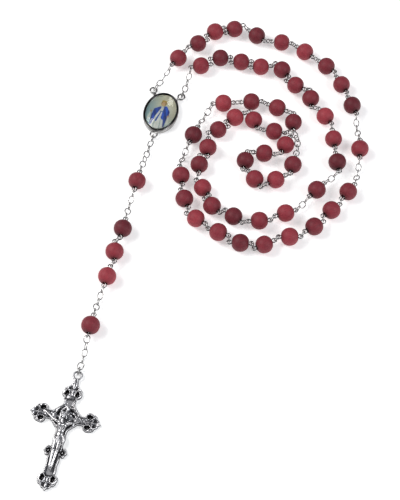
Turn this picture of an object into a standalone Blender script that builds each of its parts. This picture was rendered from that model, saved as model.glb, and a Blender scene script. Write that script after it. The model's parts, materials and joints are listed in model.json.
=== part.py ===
"""A five-decade rosary laid out flat: 59 turned wooden beads on wire eye pins, joined by small oval chain
links, with an oval domed centrepiece and a crucifix.

Metres, +Z up. The surface that the rosary lies on is z = 0, and the origin is the middle of its footprint.
Lengths below are in millimetres and are scaled once, where a mesh is made.
"""

import math

import bmesh
import bpy
from mathutils import Matrix, Vector

MM = 0.001

# Driving dimensions, in millimetres.
BEAD_DIAMETER = 7.0
BEAD_LENGTH = 6.3
BORE_DIAMETER = 1.9
WIRE = 0.5  # of the eye pins
LINK_WIRE = 0.44
EYE_REACH = 4.15  # from a bead's centre to the centre of each of its eyes
EYE_RADIUS = 0.86  # of the eye's wire, at the wire's middle
LINK_LENGTH = 3.2
LINK_WIDTH = 2.6
LINKS_PER_GAP = 5  # beside an Our Father bead
LINKS_WHERE_BUNCHED = 3
LINKS_AT_CENTREPIECE = 7  # from the centrepiece down to the pendant
CASE_WIDTH = 14.0
CASE_HEIGHT = 18.6
CASE_DEPTH = 2.6
RIM = 0.9  # width of the case's wall
EAR_RADIUS = 1.35  # of the ear's wire, at the wire's middle
EAR_WIRE = 0.7
JUMP_RING_RADIUS = 1.35
CROSS_LENGTH = 42.4  # from the middle of the ring to the tip of the foot
CROSSING = 16.0  # from the middle of the ring to the crossing
CROSS_HALF_SPAN = 12.4
CROSS_THICKNESS = 1.6
SHAFT_WIDTH = 4.4
HALO_RADIUS = 4.4
KNOBS = -12.7  # height of the upright's two side knobs, from the crossing

# Where the rosary lies: one (x, y) in millimetres for each bead, in order along the string. These are measured
# places, most of them then moved by up to 1 mm.
DECADES = (
    ((-8.9, 88.5), (-0.8, 95.9), (6.3, 101.9), (14.4, 103.3), (23.6, 99.9),
     (33.8, 96.4), (43.2, 91.6), (51.7, 84.4), (57.4, 75.3), (61.1, 65.2)),
    ((57.2, 25.3), (50.3, 17.1), (43.4, 10.0), (33.9, 5.6), (24.2, 2.3),
     (15.2, 3.0), (6.9, 7.6), (-1.6, 13.5), (-6.0, 22.2), (-7.4, 32.6)),
    ((9.4, 66.2), (20.7, 66.9), (31.0, 64.0), (37.2, 57.1), (33.7, 46.5),
     (25.2, 42.6), (17.7, 39.3), (21.2, 30.9), (29.4, 30.6), (36.3, 37.4)),
    ((21.4, 58.2), (14.0, 59.4), (7.2, 53.6), (3.1, 45.3), (-0.3, 37.5),
     (1.0, 27.0), (4.6, 19.0), (12.8, 14.4), (22.6, 12.5), (32.7, 15.8)),
    ((53.7, 38.6), (52.8, 49.3), (50.0, 60.0), (44.6, 68.5), (38.7, 75.0),
     (33.5, 82.6), (24.9, 84.1), (16.9, 86.5), (8.4, 88.5), (0.4, 84.6)),
)
OUR_FATHERS = ((62.9, 44.7), (-2.6, 51.2), (29.4, 52.8), (45.1, 26.1))
THIRD_DECADE_LAST_BORE = math.radians(74)
THIRD_OUR_FATHER_BORE = math.radians(170)  # it lies across the string, between two other beads
PENDANT = ((-24.4, 30.1), (-29.3, 9.2), (-32.1, -0.6), (-34.5, -10.9), (-39.8, -30.7))
CENTREPIECE = Vector((-15.7, 62.9))
CENTREPIECE_TURN = math.radians(-15)
EARS = {"left": (-5.9, 9.7), "right": (5.9, 9.5), "bottom": (0.0, -10.7)}
CROSS_RING = Vector((-43.8, -49.4))
CROSS_TURN = math.radians(-13)

AXIS_HEIGHT = BEAD_DIAMETER / 2  # of every bore, when the beads lie on the surface
CHAIN_HEIGHT = LINK_WIDTH / 2 + 0.15
METAL_HEIGHT = 1.5  # middle of the ears and of the crucifix's ring
LINK_REACH = (LINK_LENGTH - LINK_WIRE) / 2  # from a link's centre to the middle of its end wire
LINK_STEP = 2 * LINK_REACH - 0.15  # so that neighbouring links of a stretch meet
DROOP = (AXIS_HEIGHT - 0.8, CHAIN_HEIGHT, AXIS_HEIGHT - 0.8)
FROM_RING = (CHAIN_HEIGHT, CHAIN_HEIGHT + 0.2, AXIS_HEIGHT - 0.8)  # from an ear up to a bead
CROSSING_HEIGHT = 6.6  # of the chain where it lies over another part of the string
OPENING = 1.75  # from an Our Father bead's eye to the end of the chain, where the loop is open
LOOSE_END_LIFT = 2.4  # that end of the chain lies on the link below it
SLACK = 2.2  # least distance between the eyes of beads that can move
EYE_CLEARANCE = BEAD_DIAMETER / 2 + EYE_RADIUS + WIRE + 0.2  # from an eye's centre to another bead's
UP = Vector((0, 0, 1))

DROP = ((-0.36, 0.2), (0, 0.42), (0.36, 0.2))  # the profile of a drop of solder between two links

BEAD_SIDES = 7
WIRE_SIDES = 4
RING_STEPS = 6

WOOD = ("wood", (0.26, 0.03, 0.045, 1), 0.55, 0.0)
SILVER = ("silver_plate", (0.78, 0.77, 0.75, 1), 0.25, 1.0)
PEWTER = ("antique_silver", (0.42, 0.42, 0.43, 1), 0.38, 1.0)
PICTURE = ("picture", (0.62, 0.70, 0.66, 1), 0.5, 0.0)
RESIN = ("clear_resin", (0.85, 0.90, 0.90, 1), 0.05, 0.0)


def clear_scene():
    for obj in list(bpy.data.objects):
        bpy.data.objects.remove(obj)


def material(spec):
    name, colour, roughness, metallic = spec
    made = bpy.data.materials.get(name)
    if made is None:
        made = bpy.data.materials.new(name)
        made.use_nodes = True
        shader = made.node_tree.nodes["Principled BSDF"]
        shader.inputs["Base Color"].default_value = colour
        shader.inputs["Roughness"].default_value = roughness
        shader.inputs["Metallic"].default_value = metallic
    return made


def frame_at(place, along, side):
    """The matrix whose X axis is along, and whose Y axis is as near to side as it can be."""
    x = along.normalized()
    z = x.cross(side).normalized()
    y = z.cross(x)
    turn = Matrix((x, y, z)).transposed().to_4x4()
    return Matrix.Translation(place) @ turn


def lofted(rings, closed_loop):
    """A closed mesh through rings of points: joined end to start, or capped at both ends."""
    mesh = bmesh.new()
    rows = [[mesh.verts.new(p) for p in ring] for ring in rings]
    count = len(rows[0])
    pairs = list(zip(rows, rows[1:] + rows[:1])) if closed_loop else list(zip(rows, rows[1:]))
    for here, there in pairs:
        for k in range(count):
            n = (k + 1) % count
            mesh.faces.new((here[k], here[n], there[n], there[k]))
    if not closed_loop:
        mesh.faces.new(rows[0])
        mesh.faces.new(rows[-1])
    bmesh.ops.recalc_face_normals(mesh, faces=mesh.faces)
    return mesh


def turned(profile, place, along, sides=BEAD_SIDES):
    """A solid of revolution: profile is (distance along the axis, radius) from end to end."""
    matrix = frame_at(place, along, UP)
    rings = []
    for x, r in profile:
        angles = [2 * math.pi * k / sides for k in range(sides)]
        rings.append([matrix @ Vector((x, r * math.cos(a), r * math.sin(a))) for a in angles])
    return lofted(rings, closed_loop=False)


def bored(profile, bore_radius, place, along, sides=BEAD_SIDES):
    """The same solid with a hole right through it."""
    matrix = frame_at(place, along, UP)
    loop = profile + [(profile[-1][0], bore_radius), (profile[0][0], bore_radius)]
    rings = []
    for x, r in loop:
        angles = [2 * math.pi * k / sides for k in range(sides)]
        rings.append([matrix @ Vector((x, r * math.cos(a), r * math.sin(a))) for a in angles])
    return lofted(rings, closed_loop=True)


def bead_profile():
    """Half circles squashed along the bore, cut flat where the bore comes out."""
    angles = [math.radians(a) for a in (-62, -33, 0, 33, 62)]
    half_length = BEAD_LENGTH / 2 / math.sin(angles[-1])
    return [(half_length * math.sin(a), BEAD_DIAMETER / 2 * math.cos(a)) for a in angles]


def ring(place, along, side, half_length, half_width, wire=WIRE, steps=RING_STEPS, sides=WIRE_SIDES):
    """A closed wire ring in the plane of along and side; its centreline is an oval of those half sizes."""
    matrix = frame_at(place, along, side)
    rings = []
    for k in range(steps):
        a = 2 * math.pi * (k + 0.5) / steps
        middle = Vector((half_length * math.cos(a), half_width * math.sin(a), 0))
        out = Vector((half_width * math.cos(a), half_length * math.sin(a), 0)).normalized()
        section = []
        for j in range(sides):
            b = 2 * math.pi * j / sides
            section.append(matrix @ (middle + wire / 2 * (out * math.cos(b) + UP * math.sin(b))))
        rings.append(section)
    return lofted(rings, closed_loop=True)


def eye(place, along, side):
    return ring(place, along, side, EYE_RADIUS * 1.1, EYE_RADIUS * 1.1)


def link(place, along, side):
    return ring(place, along, side, LINK_REACH * 1.15, (LINK_WIDTH - LINK_WIRE) / 2 * 1.1, LINK_WIRE)


def rod(start, end, radius=WIRE / 2, sides=4):
    length = (end - start).length
    return turned([(0, radius), (length, radius)], start, end - start, sides)


def node(name, shells, spec, cutters=(), pivot=Vector(), smooth_angle=50):
    """One object, with its origin at the pivot, from overlapping closed shells joined into one solid."""
    objects = []
    for k, shell in enumerate(list(shells) + list(cutters)):
        mesh = bpy.data.meshes.new(f"{name}_{k}")
        shell.transform(Matrix.Scale(MM, 4) @ Matrix.Translation(-pivot))
        shell.to_mesh(mesh)
        shell.free()
        obj = bpy.data.objects.new(name if k == 0 else f"{name}_tool_{k}", mesh)
        bpy.context.scene.collection.objects.link(obj)
        objects.append(obj)
    body = objects[0]
    for k, tool in enumerate(objects[1:], 1):
        cut = body.modifiers.new(f"boolean_{k}", "BOOLEAN")
        cut.operation = "UNION" if k < len(shells) else "DIFFERENCE"
        cut.solver = "EXACT"
        cut.object = tool
    if len(objects) > 1:
        bpy.context.view_layer.update()
        graph = bpy.context.evaluated_depsgraph_get()
        joined = bpy.data.meshes.new_from_object(body.evaluated_get(graph))
        body.modifiers.clear()
        body.data = joined
        for tool in objects[1:]:
            bpy.data.objects.remove(tool)
    body.data.name = name
    body.data.materials.clear()
    body.data.materials.append(material(spec))
    body.data.shade_smooth()
    body.data.set_sharp_from_angle(angle=math.radians(smooth_angle))
    body.location = pivot * MM
    return body


def lifted(point, height=AXIS_HEIGHT):
    return Vector((point[0], point[1], height))


def turned_about(point, centre, angle):
    x, y = point
    c, s = math.cos(angle), math.sin(angle)
    return Vector((centre.x + x * c - y * s, centre.y + x * s + y * c))


def ear_place(name):
    return lifted(turned_about(EARS[name], CENTREPIECE, CENTREPIECE_TURN), METAL_HEIGHT)


def direction(angle):
    return Vector((math.cos(angle), math.sin(angle), 0))


def settled_bores(places, eye_before=None):
    """The angle of each bore along a row of beads. Each starts along the string. Then each is turned a
    little at a time, while that brings neighbouring eyes nearer to a link's length apart and keeps them
    off the next bead."""
    angles = []
    for k, place in enumerate(places):
        way_in = (place - places[max(k - 1, 0)]).normalized()
        way_out = (places[min(k + 1, len(places) - 1)] - place).normalized()
        way = way_in + way_out
        angles.append(math.atan2(way.y, way.x))
    first = list(angles)

    def strain(k, angle):
        total = 0.06 * (angle - first[k]) ** 2
        for n, way in ((k - 1, -1), (k + 1, 1)):
            if 0 <= n < len(places):
                mine = places[k] + direction(angle) * EYE_REACH * way
                theirs = places[n] - direction(angles[n]) * EYE_REACH * way
                apart = (mine - theirs).length
                total += max(0, SLACK + 0.25 - apart) ** 2 + max(0, apart - 2 * LINK_REACH) ** 2
                near = min((mine - places[n]).length, (theirs - places[k]).length)
                total += 3 * max(0, EYE_CLEARANCE - near) ** 2
        if k == 0 and eye_before:
            apart = (places[0] - direction(angle) * EYE_REACH - eye_before).length
            total += 4 * max(0, SLACK + 0.35 - apart) ** 2 + max(0, apart - 2 * LINK_REACH) ** 2
        return total

    for sweep in range(120):
        for k in range(len(places)):
            tries = [angles[k] + step for step in (0, 0.02, -0.02, 0.1, -0.1)]
            angles[k] = min(tries, key=lambda angle: strain(k, angle))
    return angles


def bead_shell(place, way):
    return turned(bead_profile(), place, way)


def eye_beyond(place, way, upright=False):
    """An eye at the end of a bead's bore, and its straight wire back into the bead."""
    centre = place + way * EYE_REACH
    side = UP if upright else way.cross(UP)
    return [eye(centre, way, side), rod(place, centre - way * (EYE_RADIUS - 0.05))]


def hooking_link(start, end):
    """A link on edge, hooked into the eye at its end and leading back towards its start."""
    along = (end - start).normalized()
    return link(end - along * LINK_REACH, along, UP)


def pair_of_beads(name, places, ways, next_eye, pivot, upright_end=False):
    """Two beads with the link between them. The node starts with an eye. Where the string goes on to
    another pair of beads it ends with the link for that pair's eye, or else with an eye of its own."""
    eyes = [places[0] + ways[0] * EYE_REACH, places[1] - ways[1] * EYE_REACH]
    middle = (eyes[0] + eyes[1]) / 2
    along = (eyes[1] - eyes[0]).normalized()
    shells = [bead_shell(places[0], ways[0]), bead_shell(places[1], ways[1])]
    shells += [link(middle, along, UP)]
    shells += [rod(places[0], middle - along * LINK_REACH), rod(places[1], middle + along * LINK_REACH)]
    shells += eye_beyond(places[0], -ways[0])
    if next_eye is None:
        shells += eye_beyond(places[1], ways[1], upright_end)
    else:
        mine = places[1] + ways[1] * EYE_REACH
        onward = (next_eye - mine).normalized()
        shells += [hooking_link(mine, next_eye), rod(places[1], next_eye - onward * 2 * LINK_REACH)]
    return node(name, shells, WOOD, pivot=pivot)


def route(start, end, levels, bow):
    """Points along a curve from start to end that bows sideways. Its height follows the levels."""
    chord = end - start
    side = Vector((-chord.y, chord.x, 0)).normalized()
    heights = [start.z, *levels, end.z]
    points = []
    for k in range(161):
        t = k / 160
        span = min(int(t * (len(heights) - 1)), len(heights) - 2)
        share = t * (len(heights) - 1) - span
        share = share * share * (3 - 2 * share)
        flat = start + chord * t + side * bow * math.sin(math.pi * t)
        points.append(Vector((flat.x, flat.y, heights[span] + (heights[span + 1] - heights[span]) * share)))
    return points


def route_length(points):
    return sum((b - a).length for a, b in zip(points, points[1:]))


def fitted_route(start, end, levels, side, bow, length):
    """The route with that bow or, where no bow is given, with the one that makes it that long."""
    if bow is not None:
        return route(start, end, levels, bow * side)
    low, high = 0.0, 14.0
    for _ in range(40):
        middle = (low + high) / 2
        short = route_length(route(start, end, levels, middle * side)) < length
        low, high = (middle, high) if short else (low, middle)
    return route(start, end, levels, low * side)


def link_places(points, count):
    """Places and directions of a stretch's links, along the points of its route. Those in the middle take
    up any slack."""
    travelled = [0.0]
    for a, b in zip(points, points[1:]):
        travelled.append(travelled[-1] + (b - a).length)

    def at(distance):
        n = next((i for i, d in enumerate(travelled) if d >= distance and i), len(points) - 1)
        share = (distance - travelled[n - 1]) / (travelled[n] - travelled[n - 1])
        return points[n - 1].lerp(points[n], share)

    slack = travelled[-1] - 2 * LINK_REACH - (count - 1) * LINK_STEP
    places = []
    for k in range(count):
        share = min(max((k - 1) / (count - 3), 0), 1) if slack < 0 and count > 3 else k / max(count - 1, 1)
        distance = LINK_REACH + k * LINK_STEP + slack * share
        back, ahead = at(max(distance - LINK_REACH, 0)), at(min(distance + LINK_REACH, travelled[-1]))
        places.append(((back + ahead) / 2, (ahead - back).normalized()))
    return places


def chain(name, start, end, count=LINKS_PER_GAP, levels=DROOP, side=1, bow=0.4, first_on_edge=True):
    """A stretch of chain. Every other link stands on edge, hooked through a level eye or ring. A drop
    of solder where each two links meet makes the stretch one solid."""
    needed = 2 * LINK_REACH + (count - 1) * LINK_STEP
    places = link_places(fitted_route(start, end, levels, side, bow, needed), count)
    shells = []
    for k, (place, along) in enumerate(places):
        level = along.cross(UP).normalized()
        on_edge = (k % 2 == 0) == first_on_edge
        shells.append(link(place, along, level.cross(along) if on_edge else level))
    for (here, way), (there, onward) in zip(places, places[1:]):
        meeting = (here + way * LINK_REACH + there - onward * LINK_REACH) / 2
        shells.append(turned(DROP, meeting, way + Vector((0.1, 0.2, 0.3)), 5))
    return node(name, shells, SILVER, pivot=start)


def decade_bores(n):
    """The bores of a decade's beads. The fourth decade starts right beside the third Our Father bead."""
    before = None
    if n == 3:
        before = lifted(OUR_FATHERS[2]) + direction(THIRD_OUR_FATHER_BORE) * EYE_REACH
    angles = settled_bores([lifted(p) for p in DECADES[n]], before)
    if n == 2:
        angles[9] = THIRD_DECADE_LAST_BORE
    return [direction(a) for a in angles]


def our_father(name, place, way, pivot, upright_start=False):
    shells = [bead_shell(place, way)] + eye_beyond(place, way) + eye_beyond(place, -way, upright_start)
    return node(name, shells, WOOD, pivot=pivot)


def decade(n, ways, reverse_pivots):
    """Five pairs of beads. Each pair's origin is the eye or link by which it hangs on the one before."""
    places = [lifted(p) for p in DECADES[n]]
    made = []
    for first in range(0, 10, 2):
        last = first == 8
        next_eye = None if last else places[first + 2] - ways[first + 2] * EYE_REACH
        entry = places[first] - ways[first] * EYE_REACH
        leave = places[first + 1] + ways[first + 1] * EYE_REACH if last else next_eye
        name = f"decade_{n + 1}_beads_{first + 1}_{first + 2}"
        pivot = leave if reverse_pivots else entry
        made.append(pair_of_beads(name, places[first:first + 2], ways[first:first + 2], next_eye, pivot,
                                  upright_end=n == 2))
    return made


def loop():
    """Strand A runs from the left ear through decades 1 to 3. Strand B runs from the right ear back
    through decades 5 and 4 to the third Our Father bead. Strand A's last stretch ends just short of that
    bead's eye, so that the two strands move freely. In use it is hooked through the eye."""
    ways = [decade_bores(n) for n in range(5)]
    starts = [lifted(DECADES[n][0]) - ways[n][0] * EYE_REACH for n in range(5)]
    ends = [lifted(DECADES[n][9]) + ways[n][9] * EYE_REACH for n in range(5)]
    for n in range(5):
        decade(n, ways[n], reverse_pivots=n >= 3)
    before, after = [], []
    for n, place in enumerate(OUR_FATHERS):
        way = (starts[n + 1] - lifted(place)).normalized() + (lifted(place) - ends[n]).normalized()
        way = direction(THIRD_OUR_FATHER_BORE) if n == 2 else Vector((way.x, way.y, 0)).normalized()
        before.append(lifted(place) - way * EYE_REACH)
        after.append(lifted(place) + way * EYE_REACH)
        our_father(f"our_father_{n + 1}", lifted(place), way, after[n] if n >= 2 else before[n], n == 2)
    left, right = (ear_place(name) for name in ("left", "right"))
    left += (starts[0] - left).normalized() * 0.3
    chain("chain_left_ear_to_decade_1", left, starts[0], levels=FROM_RING, side=-1, bow=0.2)
    chain("chain_decade_1_to_our_father_1", ends[0], before[0], side=-1)
    chain("chain_our_father_1_to_decade_2", after[0], starts[1])
    chain("chain_decade_2_to_our_father_2", ends[1], before[1])
    chain("chain_our_father_2_to_decade_3", after[1], starts[2])
    loose_end = before[2] - direction(THIRD_OUR_FATHER_BORE) * OPENING + UP * LOOSE_END_LIFT
    chain("chain_decade_3_to_our_father_3", ends[2], loose_end,
          LINKS_PER_GAP + 1, (AXIS_HEIGHT - 0.5, AXIS_HEIGHT - 0.2, CROSSING_HEIGHT, CROSSING_HEIGHT),
          side=-1, bow=3.0, first_on_edge=False)
    chain("chain_decade_4_to_our_father_3", starts[3], after[2], count=1, levels=(AXIS_HEIGHT,), bow=0)
    chain("chain_our_father_4_to_decade_4", before[3], ends[3], LINKS_WHERE_BUNCHED, side=-1, bow=None)
    chain("chain_decade_5_to_our_father_4", starts[4], after[3], LINKS_WHERE_BUNCHED, bow=None)
    chain("chain_right_ear_to_decade_5", right, ends[4], levels=FROM_RING, side=-1)


def pin(name, place, way, pivot, next_eye=None, upright_end=False):
    """An eye pin right through a bead, with the link for the next pin's eye if that is the next thing."""
    ends = [place - way * EYE_REACH, place + way * EYE_REACH]
    side = UP if upright_end else way.cross(UP)
    shells = [rod(ends[0] + way * (EYE_RADIUS - 0.05), ends[1] - way * (EYE_RADIUS - 0.05), sides=6)]
    shells += [eye(ends[0], way, way.cross(UP))]
    if next_eye is None:
        shells += [eye(ends[1], way, side)]
    else:
        hooked = (next_eye - ends[1]).normalized()
        shells += [hooking_link(ends[1], next_eye), rod(place, next_eye - hooked * 2 * LINK_REACH)]
    return node(name, shells, SILVER, pivot=pivot)


def pendant():
    """The part that hangs from the centrepiece: Our Father, three Hail Marys, Our Father, crucifix."""
    names = ("our_father_5", "hail_mary_1", "hail_mary_2", "hail_mary_3", "our_father_6")
    places = [lifted(p) for p in PENDANT]
    along = [(b - a).normalized() for a, b in zip(places, places[1:])]
    ring_place = lifted(CROSS_RING, METAL_HEIGHT)
    down = (lifted(CROSS_RING) - places[4]).normalized()
    jump_ring_place = ring_place - down * (JUMP_RING_RADIUS + 0.4)
    ways = [direction(a) for a in settled_bores(places)]
    ways[4] = (along[3] + down).normalized()
    starts = [p - w * EYE_REACH for p, w in zip(places, ways)]
    ends = [p + w * EYE_REACH for p, w in zip(places, ways)]
    for k, name in enumerate(names):
        next_eye = starts[k + 1] if k in (1, 2) else None
        pin(f"{name}_pin", places[k], ways[k], starts[k], next_eye, upright_end=k == 4)
        profile = bead_profile()
        node(f"{name}_bead", [bored(profile, BORE_DIAMETER / 2, places[k], ways[k])], WOOD, pivot=places[k])
    ear = ear_place("bottom")
    outward = (ear - lifted(CENTREPIECE, METAL_HEIGHT)).normalized()
    chain("chain_centrepiece_to_our_father_5", ear + outward * 0.35, starts[0], LINKS_AT_CENTREPIECE,
          levels=FROM_RING, side=-1, bow=None)
    chain("chain_our_father_5_to_hail_mary_1", ends[0], starts[1], side=-1)
    chain("chain_hail_mary_3_to_our_father_6", ends[3], starts[4], side=-1)
    chain("chain_our_father_6_to_jump_ring", ends[4], jump_ring_place - down * 0.5, levels=FROM_RING[::-1],
          first_on_edge=False)
    node("jump_ring", [ring(jump_ring_place, down, UP, JUMP_RING_RADIUS, JUMP_RING_RADIUS, WIRE, 8)],
         SILVER, pivot=jump_ring_place - down * 0.5)


def oval(half_width, half_height, z, steps=20):
    turn = Matrix.Rotation(CENTREPIECE_TURN, 3, "Z")
    points = []
    for k in range(steps):
        a = 2 * math.pi * k / steps
        offset = Vector((half_width * math.cos(a), half_height * math.sin(a), z))
        points.append(lifted(CENTREPIECE, 0) + turn @ offset)
    return points


def centrepiece():
    """A shallow oval case with three ears, a picture laid in it and a clear dome over the picture."""
    half_width, half_height = CASE_WIDTH / 2, CASE_HEIGHT / 2
    levels = [(0.0, 0.5), (0.4, 0.0), (CASE_DEPTH - 0.4, 0.0), (CASE_DEPTH, 0.3), (CASE_DEPTH, RIM - 0.1),
              (CASE_DEPTH - 0.2, RIM), (0.8, RIM)]
    case = lofted([oval(half_width - inset, half_height - inset, z) for z, inset in levels], False)
    shells = [case]
    middle = lifted(CENTREPIECE, METAL_HEIGHT)
    for name in EARS:
        place = ear_place(name)
        inward = (middle - place).normalized()
        shells.append(ring(place, inward, inward.cross(UP), EAR_RADIUS, EAR_RADIUS, EAR_WIRE, 10))
        if name == "bottom":
            shells.append(rod(place + inward * EAR_RADIUS, place + inward * 2.0, EAR_WIRE / 2, 6))
        else:
            shells.append(rod(place + inward * EAR_RADIUS, place + inward * 3.3, EAR_WIRE / 2, 6))
    node("centrepiece_case", shells, SILVER, pivot=lifted(CENTREPIECE, 0))
    inner = [half_width - RIM - 0.15, half_height - RIM - 0.15]
    picture = lofted([oval(*inner, 0.9), oval(*inner, 1.3)], False)
    node("centrepiece_picture", [picture], PICTURE, pivot=lifted(CENTREPIECE, 0.8))
    swell = [(1.36, 0.0), (CASE_DEPTH - 0.3, 0.0), (CASE_DEPTH + 0.5, 0.7), (CASE_DEPTH + 1.1, 2.0),
             (CASE_DEPTH + 1.45, 3.8)]
    dome = lofted([oval(inner[0] - inset, inner[1] - inset, z) for z, inset in swell], False)
    node("centrepiece_dome", [dome], RESIN, pivot=lifted(CENTREPIECE, 1.3))


def on_cross(x, y, z):
    """A point on the crucifix: x across it, y up it from its crossing, z from the surface it lies on."""
    flat = turned_about((x, y - CROSSING), CROSS_RING, CROSS_TURN)
    return lifted(flat, z)


def slab(outline, low, high):
    return lofted([[on_cross(x, y, z) for x, y in outline] for z in (low, high)], False)


def block(x0, y0, x1, y1, low, high):
    return slab(((x0, y0), (x1, y0), (x1, y1), (x0, y1)), low, high)


def end_fan(side, reach):
    """A flared end with a pointed, stepped tip: its outline for a bar along side, with reach to the tip."""
    sx, sy = side
    half = SHAFT_WIDTH / 2
    steps = ((reach - 5.2, half - 0.3), (reach - 3.6, half + 1.1), (reach - 1.7, half + 1.5),
             (reach - 1.0, half + 0.4), (reach, 0.5))
    right = [(along, across) for along, across in steps]
    left = [(along, -across) for along, across in reversed(steps)]
    return [(sx * a - sy * c, sy * a + sx * c) for a, c in right + left]


def oval_pit(x, y, half_width, half_height):
    outline = [(x + half_width * math.cos(math.pi * k / 4), y + half_height * math.sin(math.pi * k / 4))
               for k in range(8)]
    return slab(outline, CROSS_THICKNESS - 0.7, CROSS_THICKNESS + 0.5)


def crucifix_ends():
    """Each end's direction from the crossing, and how far its tip is."""
    top = CROSSING - 3.2
    return (((0, 1), top), ((0, -1), CROSS_LENGTH - CROSSING), ((-1, 0), CROSS_HALF_SPAN),
            ((1, 0), CROSS_HALF_SPAN))


def crucifix():
    """The cross with its ring, flared ends and halo; the figure and the blank plate are set on its face."""
    half = SHAFT_WIDTH / 2
    ends = crucifix_ends()
    shells = [block(-half, -ends[1][1] + 4, half, ends[0][1] - 4, 0, CROSS_THICKNESS)]
    shells.append(block(-CROSS_HALF_SPAN + 4, -half, CROSS_HALF_SPAN - 4, half, 0, CROSS_THICKNESS - 0.02))
    pits = []
    for (sx, sy), reach in ends:
        shells.append(slab(end_fan((sx, sy), reach), 0, CROSS_THICKNESS + 0.15))
        for across in (-1.75, 1.75):
            along = reach - 3.4
            size = (0.6, 0.9) if sx == 0 else (0.9, 0.6)
            pits.append(oval_pit(sx * along - sy * across, sy * along + sx * across, *size))
    centre = on_cross(0, 0, CROSS_THICKNESS / 2)
    across, up = on_cross(1, 0, 0) - on_cross(0, 0, 0), on_cross(0, 1, 0) - on_cross(0, 0, 0)
    shells.append(ring(centre, across, up, HALO_RADIUS, HALO_RADIUS, 1.1, 14))
    for x in (-half - 0.2, half + 0.2):
        outline = [(x + 1.3 * math.cos(math.pi * k / 4), KNOBS + 1.6 * math.sin(math.pi * k / 4))
                   for k in range(8)]
        shells.append(slab(outline, 0.1, CROSS_THICKNESS - 0.3))
    ring_centre = on_cross(0, CROSSING, METAL_HEIGHT - 0.4)
    shells.append(ring(ring_centre, across, up, 1.5, 1.5, 0.75, 10))
    shells.append(rod(on_cross(0, ends[0][1] - 1.5, METAL_HEIGHT - 0.4), ring_centre - up * 1.5, 0.6, 6))
    node("crucifix_cross", shells, PEWTER, cutters=pits, pivot=on_cross(0, CROSSING, METAL_HEIGHT))


def blob(x, y, z, rx, ry, rz, tilt=0.0):
    """A rounded solid: an ellipsoid of five rows, with its long axis turned by tilt."""
    rings = []
    for row in (-75, -38, 0, 38, 75):
        a = math.radians(row)
        ring_points = []
        for k in range(8):
            b = 2 * math.pi * k / 8
            px, py, pz = rx * math.cos(a) * math.cos(b), ry * math.sin(a), rz * math.cos(a) * math.sin(b)
            ring_points.append(on_cross(x + px * math.cos(tilt) - py * math.sin(tilt),
                                        y + px * math.sin(tilt) + py * math.cos(tilt), z + pz))
        rings.append(ring_points)
    return lofted(rings, False)


def limb(points, radii):
    """A limb through (x, y, z) points on the crucifix."""
    shells = []
    for (p, q), (r, s) in zip(zip(points, points[1:]), zip(radii, radii[1:])):
        start, end = on_cross(*p), on_cross(*q)
        way = (end - start).normalized()
        length = (end - start).length
        shells.append(turned([(-r * 0.5, r * 0.75), (0, r), (length, s), (length + s * 0.5, s * 0.75)],
                             start, way, 6))
    return shells


def corpus():
    """The figure: head leaning to one side, arms out and up along the bar, legs together."""
    face = CROSS_THICKNESS + 0.05
    shells = [blob(-0.6, 0.2, face + 1.25, 1.0, 1.25, 1.05, 0.35)]
    shells += limb([(-0.1, -2.4, face + 1.1), (-0.4, -0.6, face + 1.15)], [0.75, 0.5])
    shells.append(blob(0, -3.9, face + 0.95, 1.75, 2.4, 0.85))
    shells.append(blob(0.05, -6.5, face + 0.85, 1.3, 2.2, 0.75))
    shells.append(blob(0.05, -8.5, face + 0.95, 1.7, 1.5, 0.88))
    for side in (-1, 1):
        shells += limb([(side * 1.2, -2.6, face + 0.9), (side * 4.2, -1.2, face + 0.75),
                        (side * 7.4, 0.3, face + 0.6)], [0.62, 0.5, 0.36])
        shells += limb([(side * 0.65, -8.8, face + 0.9), (side * 0.6, -12.8, face + 1.2),
                        (side * 0.42, -17.0, face + 0.8), (side * 0.35, -19.1, face + 0.55)],
                       [0.85, 0.66, 0.48, 0.42])
    node("crucifix_corpus", shells, PEWTER, pivot=on_cross(0, -3.9, face + 0.9))


def title_plate():
    top = CROSSING - 3.2
    plate = block(-2.2, top - 6.3, 2.2, top - 4.9, CROSS_THICKNESS + 0.25, CROSS_THICKNESS + 0.65)
    node("crucifix_title_plate", [plate], PEWTER, pivot=on_cross(0, top - 5.6, CROSS_THICKNESS))


def stand_on_origin():
    """Moves everything so that the middle of the footprint is the origin and the lowest point is z = 0."""
    bpy.context.view_layer.update()
    corners = [obj.matrix_world @ Vector(v.co) for obj in bpy.data.objects for v in obj.data.vertices]
    low = [min(c[k] for c in corners) for k in range(3)]
    high = [max(c[k] for c in corners) for k in range(3)]
    shift = Vector(((low[0] + high[0]) / 2, (low[1] + high[1]) / 2, low[2]))
    for obj in bpy.data.objects:
        obj.location -= shift
    bpy.context.view_layer.update()


def main():
    clear_scene()
    loop()
    pendant()
    centrepiece()
    crucifix()
    corpus()
    title_plate()
    stand_on_origin()


main()
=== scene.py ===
"""A five-decade rosary laid out on a pale table: dyed wooden beads on wire eye pins, joined by small oval
chain links, with an oval domed centrepiece and an antiqued crucifix.

Lengths are in millimetres up to the point where a mesh is made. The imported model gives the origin.
"""
import json
import math

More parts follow.
